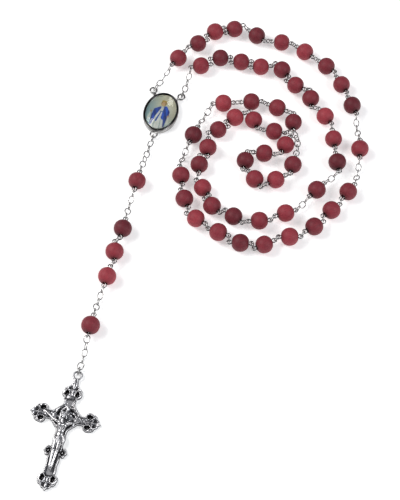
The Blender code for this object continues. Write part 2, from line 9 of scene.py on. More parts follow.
import bpy
import numpy as np
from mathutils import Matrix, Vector


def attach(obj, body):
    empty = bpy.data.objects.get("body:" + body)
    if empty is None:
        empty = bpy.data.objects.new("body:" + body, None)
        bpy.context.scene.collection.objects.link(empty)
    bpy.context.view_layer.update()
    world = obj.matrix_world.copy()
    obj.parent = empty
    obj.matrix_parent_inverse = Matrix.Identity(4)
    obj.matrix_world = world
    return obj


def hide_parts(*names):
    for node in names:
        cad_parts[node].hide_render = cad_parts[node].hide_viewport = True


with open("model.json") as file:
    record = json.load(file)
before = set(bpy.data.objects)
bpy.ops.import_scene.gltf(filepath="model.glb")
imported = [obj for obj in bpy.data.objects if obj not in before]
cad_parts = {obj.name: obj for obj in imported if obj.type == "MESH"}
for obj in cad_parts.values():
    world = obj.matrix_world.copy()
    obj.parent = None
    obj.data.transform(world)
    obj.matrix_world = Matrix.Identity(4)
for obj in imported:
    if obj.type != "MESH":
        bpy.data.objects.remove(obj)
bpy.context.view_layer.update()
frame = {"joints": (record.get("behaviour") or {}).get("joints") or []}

MM = 0.001

# The maker's sizes.
BEAD_RADIUS = 3.5
BEAD_HALF_LENGTH = 3.2
BORE_RADIUS = 0.95
PIN_WIRE = 0.5
EYE_REACH = 4.15
EYE_RADIUS = 0.86
LINK_WIRE = 0.44
LINK_LENGTH = 3.2
LINK_WIDTH = 2.6
LINKS_PER_GAP = 5
LINKS_AT_CENTREPIECE = 7
CASE_HALF_WIDTH = 7.0
CASE_HALF_HEIGHT = 9.3
RIM = 0.9
EAR_RADIUS = 1.35
EAR_WIRE = 0.7
JUMP_RING_RADIUS = 1.35
CROSS_LENGTH = 42.4
CROSSING = 16.0
CROSS_HALF_SPAN = 12.4
CROSS_THICKNESS = 1.6
SHAFT_WIDTH = 4.4
KNOBS = -12.7

# Where the beads lie: one (x, y) in millimetres for each, in order along the string, as in the CAD model.
# These are measured places, most of them then moved by up to 1 mm.
DECADES = (
    ((-8.9, 88.5), (-0.8, 95.9), (6.3, 101.9), (14.4, 103.3), (23.6, 99.9),
     (33.8, 96.4), (43.2, 91.6), (51.7, 84.4), (57.4, 75.3), (61.1, 65.2)),
    ((57.2, 25.3), (50.3, 17.1), (43.4, 10.0), (33.9, 5.6), (24.2, 2.3),
     (15.2, 3.0), (6.9, 7.6), (-1.6, 13.5), (-6.0, 22.2), (-7.4, 32.6)),
    ((9.4, 66.2), (20.7, 66.9), (31.0, 64.0), (37.2, 57.1), (33.7, 46.5),
     (25.2, 42.6), (17.7, 39.3), (21.2, 30.9), (29.4, 30.6), (36.3, 37.4)),
    ((21.4, 58.2), (14.0, 59.4), (7.2, 53.6), (3.1, 45.3), (-0.3, 37.5),
     (1.0, 27.0), (4.6, 19.0), (12.8, 14.4), (22.6, 12.5), (32.7, 15.8)),
    ((53.7, 38.6), (52.8, 49.3), (50.0, 60.0), (44.6, 68.5), (38.7, 75.0),
     (33.5, 82.6), (24.9, 84.1), (16.9, 86.5), (8.4, 88.5), (0.4, 84.6)),
)
OUR_FATHERS = ((62.9, 44.7), (-2.6, 51.2), (29.4, 52.8), (45.1, 26.1))
THIRD_DECADE_LAST_BORE = math.radians(74)
THIRD_OUR_FATHER_BORE = math.radians(170)
PENDANT = ((-24.4, 30.1), (-29.3, 9.2), (-32.1, -0.6), (-34.5, -10.9), (-39.8, -30.7))
CENTREPIECE = Vector((-15.7, 62.9))
CENTREPIECE_TURN = math.radians(-15)
EARS = {"left": (-5.9, 9.7), "right": (5.9, 9.5), "bottom": (0.0, -10.7)}
CROSS_RING = Vector((-43.8, -49.4))
CROSS_TURN = math.radians(-13)

AXIS_HEIGHT = BEAD_RADIUS
CHAIN_HEIGHT = LINK_WIDTH / 2 + 0.15
METAL_HEIGHT = 1.5
LINK_REACH = (LINK_LENGTH - LINK_WIRE) / 2
LINK_STEP = 2 * LINK_REACH - 0.15
DROOP = (AXIS_HEIGHT - 0.8, CHAIN_HEIGHT, AXIS_HEIGHT - 0.8)
FROM_RING = (CHAIN_HEIGHT, CHAIN_HEIGHT + 0.2, AXIS_HEIGHT - 0.8)
CROSSING_HEIGHT = 6.6
SLACK = 2.2
EYE_CLEARANCE = BEAD_RADIUS + EYE_RADIUS + PIN_WIRE + 0.2
UP = Vector((0, 0, 1))

# How the beads differ: each takes the next of these in turn, as share of full size and as depth of dye.
BEAD_SIZES = (0.994, 0.986, 1.0, 0.989, 1.0, 0.978, 0.997, 0.992, 0.982, 1.0, 0.988)
BEAD_DYES = (0.55, 0.30, 0.75, 0.45, 0.15, 0.60, 0.85, 0.35, 0.50, 0.05, 0.70, 0.95, 0.40)

spin = next(joint for joint in frame["joints"] if joint["name"] == "spin_our_father_5_bead")
SHIFT = np.array(spin["pos_m"]) / MM - np.array((*PENDANT[0], AXIS_HEIGHT))  # from the layout to the frame


# ---------------------------------------------------------------- meshes

def finish_mesh(name, verts, faces, material, body, nodes=()):
    """Puts points (in the layout's millimetres) and faces into a mesh on the frame, and lets it ride."""
    verts = (np.asarray(verts, dtype=float) + SHIFT) * MM
    mesh = bpy.data.meshes.new(name)
    mesh.from_pydata(verts.tolist(), [], [tuple(face) for face in faces])
    mesh.update()
    mesh.materials.append(material)
    mesh.shade_smooth()
    piece = bpy.data.objects.new(name, mesh)
    bpy.context.scene.collection.objects.link(piece)
    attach(piece, body)
    if nodes:
        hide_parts(*nodes)
    return piece


def grid_faces(rows, columns, wrap_rows, wrap_columns, start=0):
    """Quads between neighbours of a rows by columns grid, which may join up in either direction."""
    row = np.arange(rows if wrap_rows else rows - 1)
    column = np.arange(columns if wrap_columns else columns - 1)
    r, c = np.meshgrid(row, column, indexing="ij")
    r2, c2 = (r + 1) % rows, (c + 1) % columns
    quads = np.stack([r * columns + c, r * columns + c2, r2 * columns + c2, r2 * columns + c], axis=-1)
    return quads.reshape(-1, 4) + start


def attribute(piece, name, values):
    """A value for each point of a piece's mesh, which its material reads by name."""
    made = piece.data.attributes.new(name, "FLOAT", "POINT")
    made.data.foreach_set("value", np.asarray(values, dtype=np.float32))


def colour_attribute(piece, name, colours):
    """A colour for each point of a piece's mesh."""
    made = piece.data.color_attributes.new(name, "FLOAT_COLOR", "POINT")
    rgba = np.concatenate([colours, np.ones((len(colours), 1))], axis=1)
    made.data.foreach_set("color", rgba.astype(np.float32).ravel())


def vector_attribute(piece, name, vectors):
    made = piece.data.attributes.new(name, "FLOAT_VECTOR", "POINT")
    made.data.foreach_set("vector", np.asarray(vectors, dtype=np.float32).ravel())


def axes(way, side):
    """Three square unit arrows: along way, towards side, and across both."""
    x = np.array(way.normalized())
    z = np.cross(x, np.array(side))
    z /= np.linalg.norm(z)
    return x, np.cross(z, x), z


def tube(path, normal, radius, sides=8, closed=False):
    """A round wire along a flat path. A ring of points stands round each point of the path, in the plane
    of the path's normal and of the cross product of its tangent with that normal."""
    path = np.asarray(path, dtype=float)
    if closed:
        tangent = np.roll(path, -1, axis=0) - np.roll(path, 1, axis=0)
    else:
        tangent = np.gradient(path, axis=0)
    tangent /= np.linalg.norm(tangent, axis=1)[:, None]
    normal = np.asarray(normal, dtype=float) / np.linalg.norm(normal)
    out = np.cross(tangent, normal[None, :])
    out /= np.linalg.norm(out, axis=1)[:, None]
    turn = np.linspace(0, 2 * np.pi, sides, endpoint=False)
    radius = np.broadcast_to(radius, (len(path),))[:, None, None]
    ring = np.cos(turn)[None, :, None] * out[:, None, :] + np.sin(turn)[None, :, None] * normal[None, None, :]
    points = path[:, None, :] + radius * ring
    faces = grid_faces(len(path), sides, closed, True)[:, ::-1].tolist()
    if not closed:
        last = (len(path) - 1) * sides
        faces += [list(range(sides)), list(range(last + sides - 1, last - 1, -1))]
    return points.reshape(-1, 3), faces


def joined(parts):
    """One list of points and faces from several."""
    verts, faces, count = [], [], 0
    for points, quads in parts:
        verts.append(points)
        faces += [[index + count for index in face] for face in quads]
        count += len(points)
    return np.concatenate(verts), faces


# ---------------------------------------------------------------- wire

def link_part(place, way, side):
    """An oval link: a straight-sided ring, whose half length and half width come from the link's size.
    Each of its quarters is a superellipse of power 2.6, a little squarer than an ellipse."""
    x, y, z = axes(way, side)
    a = np.linspace(0, 2 * np.pi, 22, endpoint=False)
    power = 2 / 2.6
    px = LINK_REACH * np.sign(np.cos(a)) * np.abs(np.cos(a)) ** power
    py = (LINK_WIDTH - LINK_WIRE) / 2 * np.sign(np.sin(a)) * np.abs(np.sin(a)) ** power
    path = np.array(place) + px[:, None] * x + py[:, None] * y
    return tube(path, z, LINK_WIRE / 2, 7, closed=True)


def ring_part(place, way, side, radius, wire, steps=28):
    x, y, z = axes(way, side)
    a = np.linspace(0, 2 * np.pi, steps, endpoint=False)
    path = np.array(place) + radius * (np.cos(a)[:, None] * x + np.sin(a)[:, None] * y)
    return tube(path, z, wire / 2, 10, closed=True)


def eye_part(place, way, side):
    """Half of an eye pin: straight from the bead's middle, then a bend, then most of a turn round the eye's
    centre, with the wire's cut end just short of where it started."""
    x, y, z = axes(way, side)
    a = np.linspace(-math.pi + 0.45, math.pi - 0.5, 26)
    loop_x, loop_y = EYE_REACH + EYE_RADIUS * np.cos(a), EYE_RADIUS * np.sin(a)
    straight = np.linspace(0, EYE_REACH - EYE_RADIUS - 0.42, 4)
    px = np.concatenate([straight, loop_x])
    py = np.concatenate([np.zeros(4), loop_y])
    path = np.array(place) + px[:, None] * x + py[:, None] * y
    return tube(path, z, PIN_WIRE / 2, 7)


# ---------------------------------------------------------------- beads

def bead(name, place, way, number, material, body, nodes=()):
    """A turned bead: a superellipse of power 2.1 spun round the bore, cut by the bore, whose edge is
    rounded off. Two slow waves round it, one twisting along it, make it a little uneven. They only take
    away, so no bead is wider than the full radius."""
    size = BEAD_SIZES[number % len(BEAD_SIZES)]
    steps, sides = 30, 44
    low = math.asin((BORE_RADIUS + 0.25) / BEAD_RADIUS)
    lean = np.linspace(low, math.pi - low, steps)
    power = 2 / 2.1
    along = -BEAD_HALF_LENGTH * np.sign(np.cos(lean)) * np.abs(np.cos(lean)) ** power
    radius = BEAD_RADIUS * np.sin(lean) ** power
    along *= BEAD_HALF_LENGTH / along[-1]
    mouth = along[-1]
    edge_along = np.array([mouth - 0.02, mouth - 0.1, mouth - 0.3, mouth - 1.2])
    edge_radius = np.array([1.1, 1.0, 0.97, 0.93]) * BORE_RADIUS
    along = np.concatenate([-edge_along[::-1], along, edge_along])
    radius = np.concatenate([edge_radius[::-1], radius, edge_radius])
    turn = np.linspace(0, 2 * math.pi, sides, endpoint=False)
    phase = number * 1.7
    twist = 3 * turn[None, :] + along[:, None]
    wave = 0.99 + 0.006 * np.sin(2 * turn[None, :] + phase) + 0.004 * np.sin(twist)
    r = radius[:, None] * wave * size
    local = np.stack([np.broadcast_to(along[:, None], r.shape) * size,
                      r * np.cos(turn)[None, :], r * np.sin(turn)[None, :]], axis=-1).reshape(-1, 3)
    x, y, z = axes(way, UP)
    points = np.array(place) + local[:, :1] * x + local[:, 1:2] * y + local[:, 2:] * z
    faces = grid_faces(len(along), sides, True, True)
    piece = finish_mesh(name, points, faces, material, body, nodes)
    vector_attribute(piece, "in_bead", local + np.array([number * 9.3, number * 3.1, 0]))
    attribute(piece, "from_bore", np.hypot(local[:, 1], local[:, 2]))
    attribute(piece, "dye", np.full(len(local), BEAD_DYES[number % len(BEAD_DYES)]))
    return piece


# ---------------------------------------------------------------- the string's layout

def lifted(point, height=AXIS_HEIGHT):
    return Vector((point[0], point[1], height))


def turned_about(point, centre, angle):
    x, y = point
    c, s = math.cos(angle), math.sin(angle)
    return Vector((centre.x + x * c - y * s, centre.y + x * s + y * c))


def direction(angle):
    return Vector((math.cos(angle), math.sin(angle), 0))


def settled_bores(places, eye_before=None):
    """The angle of each bore along a row of beads. Each starts along the string. Then each is turned a
    little at a time, while that brings neighbouring eyes nearer to a link's length apart and keeps them
    off the next bead."""
    angles = []
    for k, place in enumerate(places):
        way_in = (place - places[max(k - 1, 0)]).normalized()
        way_out = (places[min(k + 1, len(places) - 1)] - place).normalized()
        way = way_in + way_out
        angles.append(math.atan2(way.y, way.x))
    first = list(angles)

    def strain(k, angle):
        total = 0.06 * (angle - first[k]) ** 2
        for n, way in ((k - 1, -1), (k + 1, 1)):
            if 0 <= n < len(places):
                mine = places[k] + direction(angle) * EYE_REACH * way
                theirs = places[n] - direction(angles[n]) * EYE_REACH * way
                apart = (mine - theirs).length
                total += max(0, SLACK + 0.25 - apart) ** 2 + max(0, apart - 2 * LINK_REACH) ** 2
                near = min((mine - places[n]).length, (theirs - places[k]).length)
                total += 3 * max(0, EYE_CLEARANCE - near) ** 2
        if k == 0 and eye_before:
            apart = (places[0] - direction(angle) * EYE_REACH - eye_before).length
            total += 4 * max(0, SLACK + 0.35 - apart) ** 2 + max(0, apart - 2 * LINK_REACH) ** 2
        return total

    for sweep in range(120):
        for k in range(len(places)):
            tries = [angles[k] + step for step in (0, 0.02, -0.02, 0.1, -0.1)]
            angles[k] = min(tries, key=lambda angle: strain(k, angle))
    return angles


def decade_bores(n):
    before = None
    if n == 3:
        before = lifted(OUR_FATHERS[2]) + direction(THIRD_OUR_FATHER_BORE) * EYE_REACH
    angles = settled_bores([lifted(p) for p in DECADES[n]], before)
    if n == 2:
        angles[9] = THIRD_DECADE_LAST_BORE
    return [direction(a) for a in angles]


def route(start, end, levels, bow):
    """Points along a curve from start to end: a half wave sideways on the straight line between them,
    while the height eases from each level to the next."""
    chord = end - start
    side = Vector((-chord.y, chord.x, 0)).normalized()
    heights = np.array([start.z, *levels, end.z])
    t = np.linspace(0, 1, 161)
    span = np.minimum((t * (len(heights) - 1)).astype(int), len(heights) - 2)
    share = t * (len(heights) - 1) - span
    share = share * share * (3 - 2 * share)
    flat = np.array(start)[:2] + t[:, None] * np.array(chord)[:2]
    flat = flat + (bow * np.sin(np.pi * t))[:, None] * np.array(side)[:2]
    return np.column_stack([flat, heights[span] + (heights[span + 1] - heights[span]) * share])


def route_length(points):
    return np.linalg.norm(np.diff(points, axis=0), axis=1).sum()


def fitted_route(start, end, levels, side, bow, length):
    """The route with that bow or, where no bow is given, with the one that makes it that long."""
    if bow is not None:
        return route(start, end, levels, bow * side)
    low, high = 0.0, 14.0
    for _ in range(40):
        middle = (low + high) / 2
        short = route_length(route(start, end, levels, middle * side)) < length
        low, high = (middle, high) if short else (low, middle)
    return route(start, end, levels, low * side)


def link_places(points, count):
    """Places and directions of a stretch's links along its route, with any slack shared in the middle."""
    travelled = np.concatenate([[0], np.cumsum(np.linalg.norm(np.diff(points, axis=0), axis=1))])
    slack = travelled[-1] - 2 * LINK_REACH - (count - 1) * LINK_STEP
    places = []
    for k in range(count):
        share = min(max((k - 1) / (count - 3), 0), 1) if slack < 0 and count > 3 else k / max(count - 1, 1)
        distance = LINK_REACH + k * LINK_STEP + slack * share
        ends = [[np.interp(d, travelled, points[:, axis]) for axis in range(3)]
                for d in (distance - LINK_REACH, distance + LINK_REACH)]
        back, ahead = Vector(ends[0]), Vector(ends[1])
        places.append(((back + ahead) / 2, (ahead - back).normalized()))
    return places


def rolled(way, quarter, lean):
    """An arrow across way: level or on edge by the quarter, and leaned round way by a little."""
    level = way.cross(UP).normalized()
    edge = level.cross(way).normalized()
    angle = lean + (math.pi / 2 if quarter else 0)
    return level * math.cos(angle) + edge * math.sin(angle)


def chain(name, start, end, count=LINKS_PER_GAP, levels=DROOP, side=1, bow=0.4, first_on_edge=True):
    """A stretch of separate links that hook through each other, every other one on edge."""
    needed = 2 * LINK_REACH + (count - 1) * LINK_STEP
    places = link_places(fitted_route(start, end, levels, side, bow, needed), count)
    parts = []
    for k, (place, way) in enumerate(places):
        inner = 0 < k < len(places) - 1
        lean = 0.5 * math.sin(2.3 * k + len(name)) if inner else 0.0
        parts.append(link_part(place, way, rolled(way, (k % 2 == 0) == first_on_edge, lean)))
    piece = finish_mesh(f"{name}_links", *joined(parts), metal, name, [name])
    return piece


def string_wires(name, parts, body, nodes=()):
    piece = finish_mesh(name, *joined(parts), metal, body, nodes)
    return piece


def eyes(place, way, upright_end=False, upright_start=False):
    """Both halves of a bead's eye pin."""
    level = way.cross(UP)
    return [eye_part(place, way, UP if upright_end else level),
            eye_part(place, -way, UP if upright_start else level)]


def link_between(start, end):
    """One link from eye to eye."""
    return link_part((start + end) / 2, end - start, UP)


def hooking_link(start, end):
    along = (end - start).normalized()
    return link_part(end - along * LINK_REACH, along, UP)


def decade(n, ways):
    """Ten beads with their pins, and the single links between them."""
    places = [lifted(p) for p in DECADES[n]]
    for first in range(0, 10, 2):
        pair = f"decade_{n + 1}_beads_{first + 1}_{first + 2}"
        parts = []
        for k in (first, first + 1):
            bead(f"decade_{n + 1}_bead_{k + 1}", places[k], ways[k], n * 12 + k, wood, pair, [pair])
            parts += eyes(places[k], ways[k], upright_end=k == 9 and n == 2)
        for k in (first, first + 1):
            if k < 9:
                here, there = places[k] + ways[k] * EYE_REACH, places[k + 1] - ways[k + 1] * EYE_REACH
                parts.append(link_between(here, there) if k == first else hooking_link(here, there))
        string_wires(f"decade_{n + 1}_wires_{first + 1}_{first + 2}", parts, pair, [pair])


def loop():
    """Everything from the centrepiece's left ear, round the five decades, to its right ear."""
    ways = [decade_bores(n) for n in range(5)]
    starts = [lifted(DECADES[n][0]) - ways[n][0] * EYE_REACH for n in range(5)]
    ends = [lifted(DECADES[n][9]) + ways[n][9] * EYE_REACH for n in range(5)]
    for n in range(5):
        decade(n, ways[n])
    before, after = [], []
    for n, point in enumerate(OUR_FATHERS):
        place, name = lifted(point), f"our_father_{n + 1}"
        way = (starts[n + 1] - place).normalized() + (place - ends[n]).normalized()
        way = direction(THIRD_OUR_FATHER_BORE) if n == 2 else Vector((way.x, way.y, 0)).normalized()
        before.append(place - way * EYE_REACH)
        after.append(place + way * EYE_REACH)
        bead(f"{name}_bead", place, way, n * 12 + 10, wood, name, [name])
        string_wires(f"{name}_wires", eyes(place, way, upright_start=n == 2), name, [name])
    left, right = (ear_place(name) for name in ("left", "right"))
    left += (starts[0] - left).normalized() * 0.3
    chain("chain_left_ear_to_decade_1", left, starts[0], levels=FROM_RING, side=-1, bow=0.2)
    chain("chain_decade_1_to_our_father_1", ends[0], before[0], side=-1)
    chain("chain_our_father_1_to_decade_2", after[0], starts[1])
    chain("chain_decade_2_to_our_father_2", ends[1], before[1])
    chain("chain_our_father_2_to_decade_3", after[1], starts[2])
    over = (AXIS_HEIGHT - 0.5, AXIS_HEIGHT - 0.2, CROSSING_HEIGHT, CROSSING_HEIGHT)
    chain("chain_decade_3_to_our_father_3", ends[2], before[2], LINKS_PER_GAP + 2, over, side=-1, bow=3.0,
          first_on_edge=False)
    chain("chain_decade_4_to_our_father_3", starts[3], after[2], count=1, levels=(AXIS_HEIGHT,), bow=0)
    chain("chain_our_father_4_to_decade_4", before[3], ends[3], 3, side=-1, bow=None)
    chain("chain_decade_5_to_our_father_4", starts[4], after[3], 3, bow=None)
    chain("chain_right_ear_to_decade_5", right, ends[4], levels=FROM_RING, side=-1)


def pendant():
    """The part that hangs from the centrepiece, down to the crucifix's jump ring."""
    names = ("our_father_5", "hail_mary_1", "hail_mary_2", "hail_mary_3", "our_father_6")
    places = [lifted(p) for p in PENDANT]
    along = [(b - a).normalized() for a, b in zip(places, places[1:])]
    down = (lifted(CROSS_RING) - places[4]).normalized()
    ring_place = lifted(CROSS_RING, METAL_HEIGHT) - down * (JUMP_RING_RADIUS + 0.4)
    ways = [direction(a) for a in settled_bores(places)]
    ways[4] = (along[3] + down).normalized()
    starts = [p - w * EYE_REACH for p, w in zip(places, ways)]
    ends = [p + w * EYE_REACH for p, w in zip(places, ways)]
    for k, name in enumerate(names):
        bead(f"{name}_wood", places[k], ways[k], 60 + k, wood, f"{name}_bead", [f"{name}_bead"])
        parts = eyes(places[k], ways[k], upright_end=k == 4)
        if k in (1, 2):
            parts.append(hooking_link(ends[k], starts[k + 1]))
        string_wires(f"{name}_wires", parts, f"{name}_pin", [f"{name}_pin"])
    ear = ear_place("bottom")
    outward = (ear - lifted(CENTREPIECE, METAL_HEIGHT)).normalized()
    chain("chain_centrepiece_to_our_father_5", ear + outward * 0.35, starts[0], LINKS_AT_CENTREPIECE,
          levels=FROM_RING, side=-1, bow=None)
    chain("chain_our_father_5_to_hail_mary_1", ends[0], starts[1], side=-1)
    chain("chain_hail_mary_3_to_our_father_6", ends[3], starts[4], side=-1)
    chain("chain_our_father_6_to_jump_ring", ends[4], ring_place - down * 0.5, levels=FROM_RING[::-1],
          first_on_edge=False)
    string_wires("jump_ring_wire", [ring_part(ring_place, down, UP, JUMP_RING_RADIUS, 0.5)], "jump_ring",
                 ["jump_ring"])


# ---------------------------------------------------------------- centrepiece

def ear_place(name):
    return lifted(turned_about(EARS[name], CENTREPIECE, CENTREPIECE_TURN), METAL_HEIGHT)


def oval_shell(rings, steps=120):
    """A closed surface through ovals about the centrepiece's middle. Each ring is (inset, share, height):
    an ellipse that much smaller than the case, then scaled by the share. The first and last are points."""
    turn = np.linspace(0, 2 * np.pi, steps, endpoint=False)
    c, s = math.cos(CENTREPIECE_TURN), math.sin(CENTREPIECE_TURN)
    inset, share, height = (np.array(column)[:, None] for column in zip(*rings))
    x = (CASE_HALF_WIDTH - inset) * share * np.cos(turn)
    y = (CASE_HALF_HEIGHT - inset) * share * np.sin(turn)
    z = np.broadcast_to(height, x.shape)
    points = np.stack([CENTREPIECE.x + x * c - y * s, CENTREPIECE.y + x * s + y * c, z], axis=-1)
    points = points.reshape(-1, 3)
    ends = np.array([[CENTREPIECE.x, CENTREPIECE.y, rings[k][2]] for k in (0, -1)])
    first = np.full(steps, len(points))
    here = np.arange(steps)
    beyond = np.roll(here, -1)
    near = (len(rings) - 1) * steps
    fans = np.concatenate([np.stack([first, beyond, here], axis=-1),
                           np.stack([first + 1, near + here, near + beyond], axis=-1)])
    faces = grid_faces(len(rings), steps, False, True).tolist() + fans.tolist()
    return np.concatenate([points, ends]), faces, np.append(x, [0, 0]), np.append(y, [0, 0])


def soft_oval(x, y, cx, cy, rx, ry, lean=0.0, edge=0.12):
    """How much of a painted oval covers each point: 1 inside, 0 outside, with an edge this many mm soft."""
    c, s = math.cos(lean), math.sin(lean)
    u, v = ((x - cx) * c + (y - cy) * s) / rx, (-(x - cx) * s + (y - cy) * c) / ry
    return np.clip((1 - np.hypot(u, v)) * min(rx, ry) / edge + 0.5, 0, 1)


def soft_band(x, y, points, widths, edge=0.12):
    """How much of a painted stroke covers each point: a line through the points, whose half width eases
    between the widths given at them."""
    cover = np.zeros_like(x)
    for (x0, y0), (x1, y1), w0, w1 in zip(points, points[1:], widths, widths[1:]):
        length = math.hypot(x1 - x0, y1 - y0)
        t = np.clip(((x - x0) * (x1 - x0) + (y - y0) * (y1 - y0)) / length ** 2, 0, 1)
        away = np.hypot(x - x0 - t * (x1 - x0), y - y0 - t * (y1 - y0))
        cover = np.maximum(cover, np.clip((w0 + (w1 - w0) * t - away) / edge + 0.5, 0, 1))
    return cover


def painted_picture(x, y):
    """The colours of the little picture: a robed figure with open hands, on a ground that goes from cream
    at the top to pale aqua at the lower left. Each stroke is laid over those before it."""
    cream, aqua = np.array([0.78, 0.74, 0.56]), np.array([0.42, 0.62, 0.64])
    blend = np.clip(0.5 + 0.085 * (-x - 0.9 * y) + 0.1 * np.sin(0.9 * x - 0.5 * y), 0, 1)[:, None]
    colour = cream * (1 - blend) + aqua * blend
    glow = np.exp(-((x / 2.6) ** 2 + ((y - 3.4) / 3.0) ** 2))[:, None]
    colour = colour * (1 - 0.4 * glow) + np.array([0.92, 0.84, 0.50]) * 0.4 * glow

    def lay(cover, rgb, shade=0.0):
        nonlocal colour
        tint = np.array(rgb) * (1 + shade * np.sin(3.1 * x + 1.3 * y))[:, None]
        colour = colour * (1 - cover[:, None]) + tint * cover[:, None]

    for hx, hy, sx in ((-3.9, -0.6, -1), (3.2, -1.6, 1)):  # light from the hands
        for fan in (-0.35, 0.0, 0.35):
            end = (hx + sx * 0.9 * math.sin(fan + 0.3), hy - 3.2 * math.cos(fan))
            lay(0.55 * soft_band(x, y, ((hx, hy), end), (0.1, 0.35), 0.3), (0.90, 0.90, 0.78))
    lay(soft_band(x, y, ((0.1, 1.6), (0.0, -2.5), (-0.2, -7.4)), (0.9, 1.7, 2.9)), (0.93, 0.95, 0.90), 0.05)
    lay(soft_band(x, y, ((-1.0, -3.0), (-1.6, -7.2)), (0.12, 0.2)), (0.48, 0.58, 0.56))  # folds of the dress
    lay(soft_band(x, y, ((0.7, -3.4), (1.0, -7.2)), (0.12, 0.2)), (0.50, 0.60, 0.58))
    lay(soft_band(x, y, ((-0.7, 1.9), (-1.9, 0.3), (-2.4, -2.0), (-2.7, -5.9)), (0.5, 1.05, 0.8, 0.35)),
        (0.03, 0.09, 0.52), 0.35)
    lay(soft_band(x, y, ((1.3, 2.2), (1.9, 0.4), (1.7, -2.2)), (0.75, 1.35, 1.15)), (0.02, 0.10, 0.60), 0.35)
    lay(soft_band(x, y, ((2.6, 1.2), (3.1, -1.2)), (0.2, 0.35)), (0.01, 0.03, 0.26))
    lay(soft_band(x, y, ((2.1, -2.0), (2.3, -4.2), (2.4, -6.2)), (0.75, 0.5, 0.3)), (0.02, 0.06, 0.34), 0.3)
    lay(soft_band(x, y, ((-2.9, -1.5), (-3.1, -5.4)), (0.14, 0.1)), (0.015, 0.02, 0.16))
    lay(soft_band(x, y, ((-0.3, 0.2), (0.8, 0.3)), (0.2, 0.2)), (0.04, 0.16, 0.40))  # sash and its two ends
    lay(soft_band(x, y, ((0.05, 0.0), (-0.5, -2.0), (-0.95, -4.2)), (0.16, 0.26, 0.3)),
        (0.03, 0.14, 0.55), 0.2)
    lay(soft_oval(x, y, 0.15, 1.75, 0.55, 1.0), (0.84, 0.85, 0.72))  # collar
    lay(soft_oval(x, y, 0.15, 4.0, 1.05, 1.3), (0.42, 0.24, 0.05))  # hair
    lay(soft_oval(x, y, 0.1, 5.05, 0.95, 0.45), (0.66, 0.44, 0.09))  # crown
    for k in (-2, -1, 0, 1, 2):
        lay(soft_oval(x, y, 0.1 + 0.4 * k, 5.4 - 0.05 * k * k, 0.11, 0.24, edge=0.08), (0.70, 0.48, 0.12))
    lay(soft_oval(x, y, 0.05, 3.75, 0.66, 0.9), (0.76, 0.50, 0.24))  # face, with even features
    for side in (-1, 1):
        lay(0.8 * soft_oval(x, y, 0.05 + side * 0.26, 3.82, 0.13, 0.05, edge=0.05), (0.16, 0.08, 0.04))
        lay(0.5 * soft_band(x, y, ((0.05 + side * 0.12, 4.02), (0.05 + side * 0.4, 4.0)), (0.03, 0.02), 0.05),
            (0.24, 0.12, 0.05))
    lay(0.35 * soft_band(x, y, ((0.05, 3.9), (0.07, 3.5)), (0.03, 0.06), 0.08), (0.46, 0.25, 0.11))
    lay(0.7 * soft_oval(x, y, 0.05, 3.28, 0.15, 0.045, edge=0.05), (0.50, 0.14, 0.10))
    for hx, hy, lean in ((-3.75, -0.35, 0.5), (3.05, -1.35, -0.5)):  # hands, fingers down
        lay(soft_oval(x, y, hx, hy, 0.3, 0.5, lean), (0.74, 0.50, 0.22))
        lay(0.6 * soft_oval(x, y, hx, hy - 0.3, 0.22, 0.3, lean), (0.82, 0.60, 0.32))
    return np.clip(colour, 0, 1)


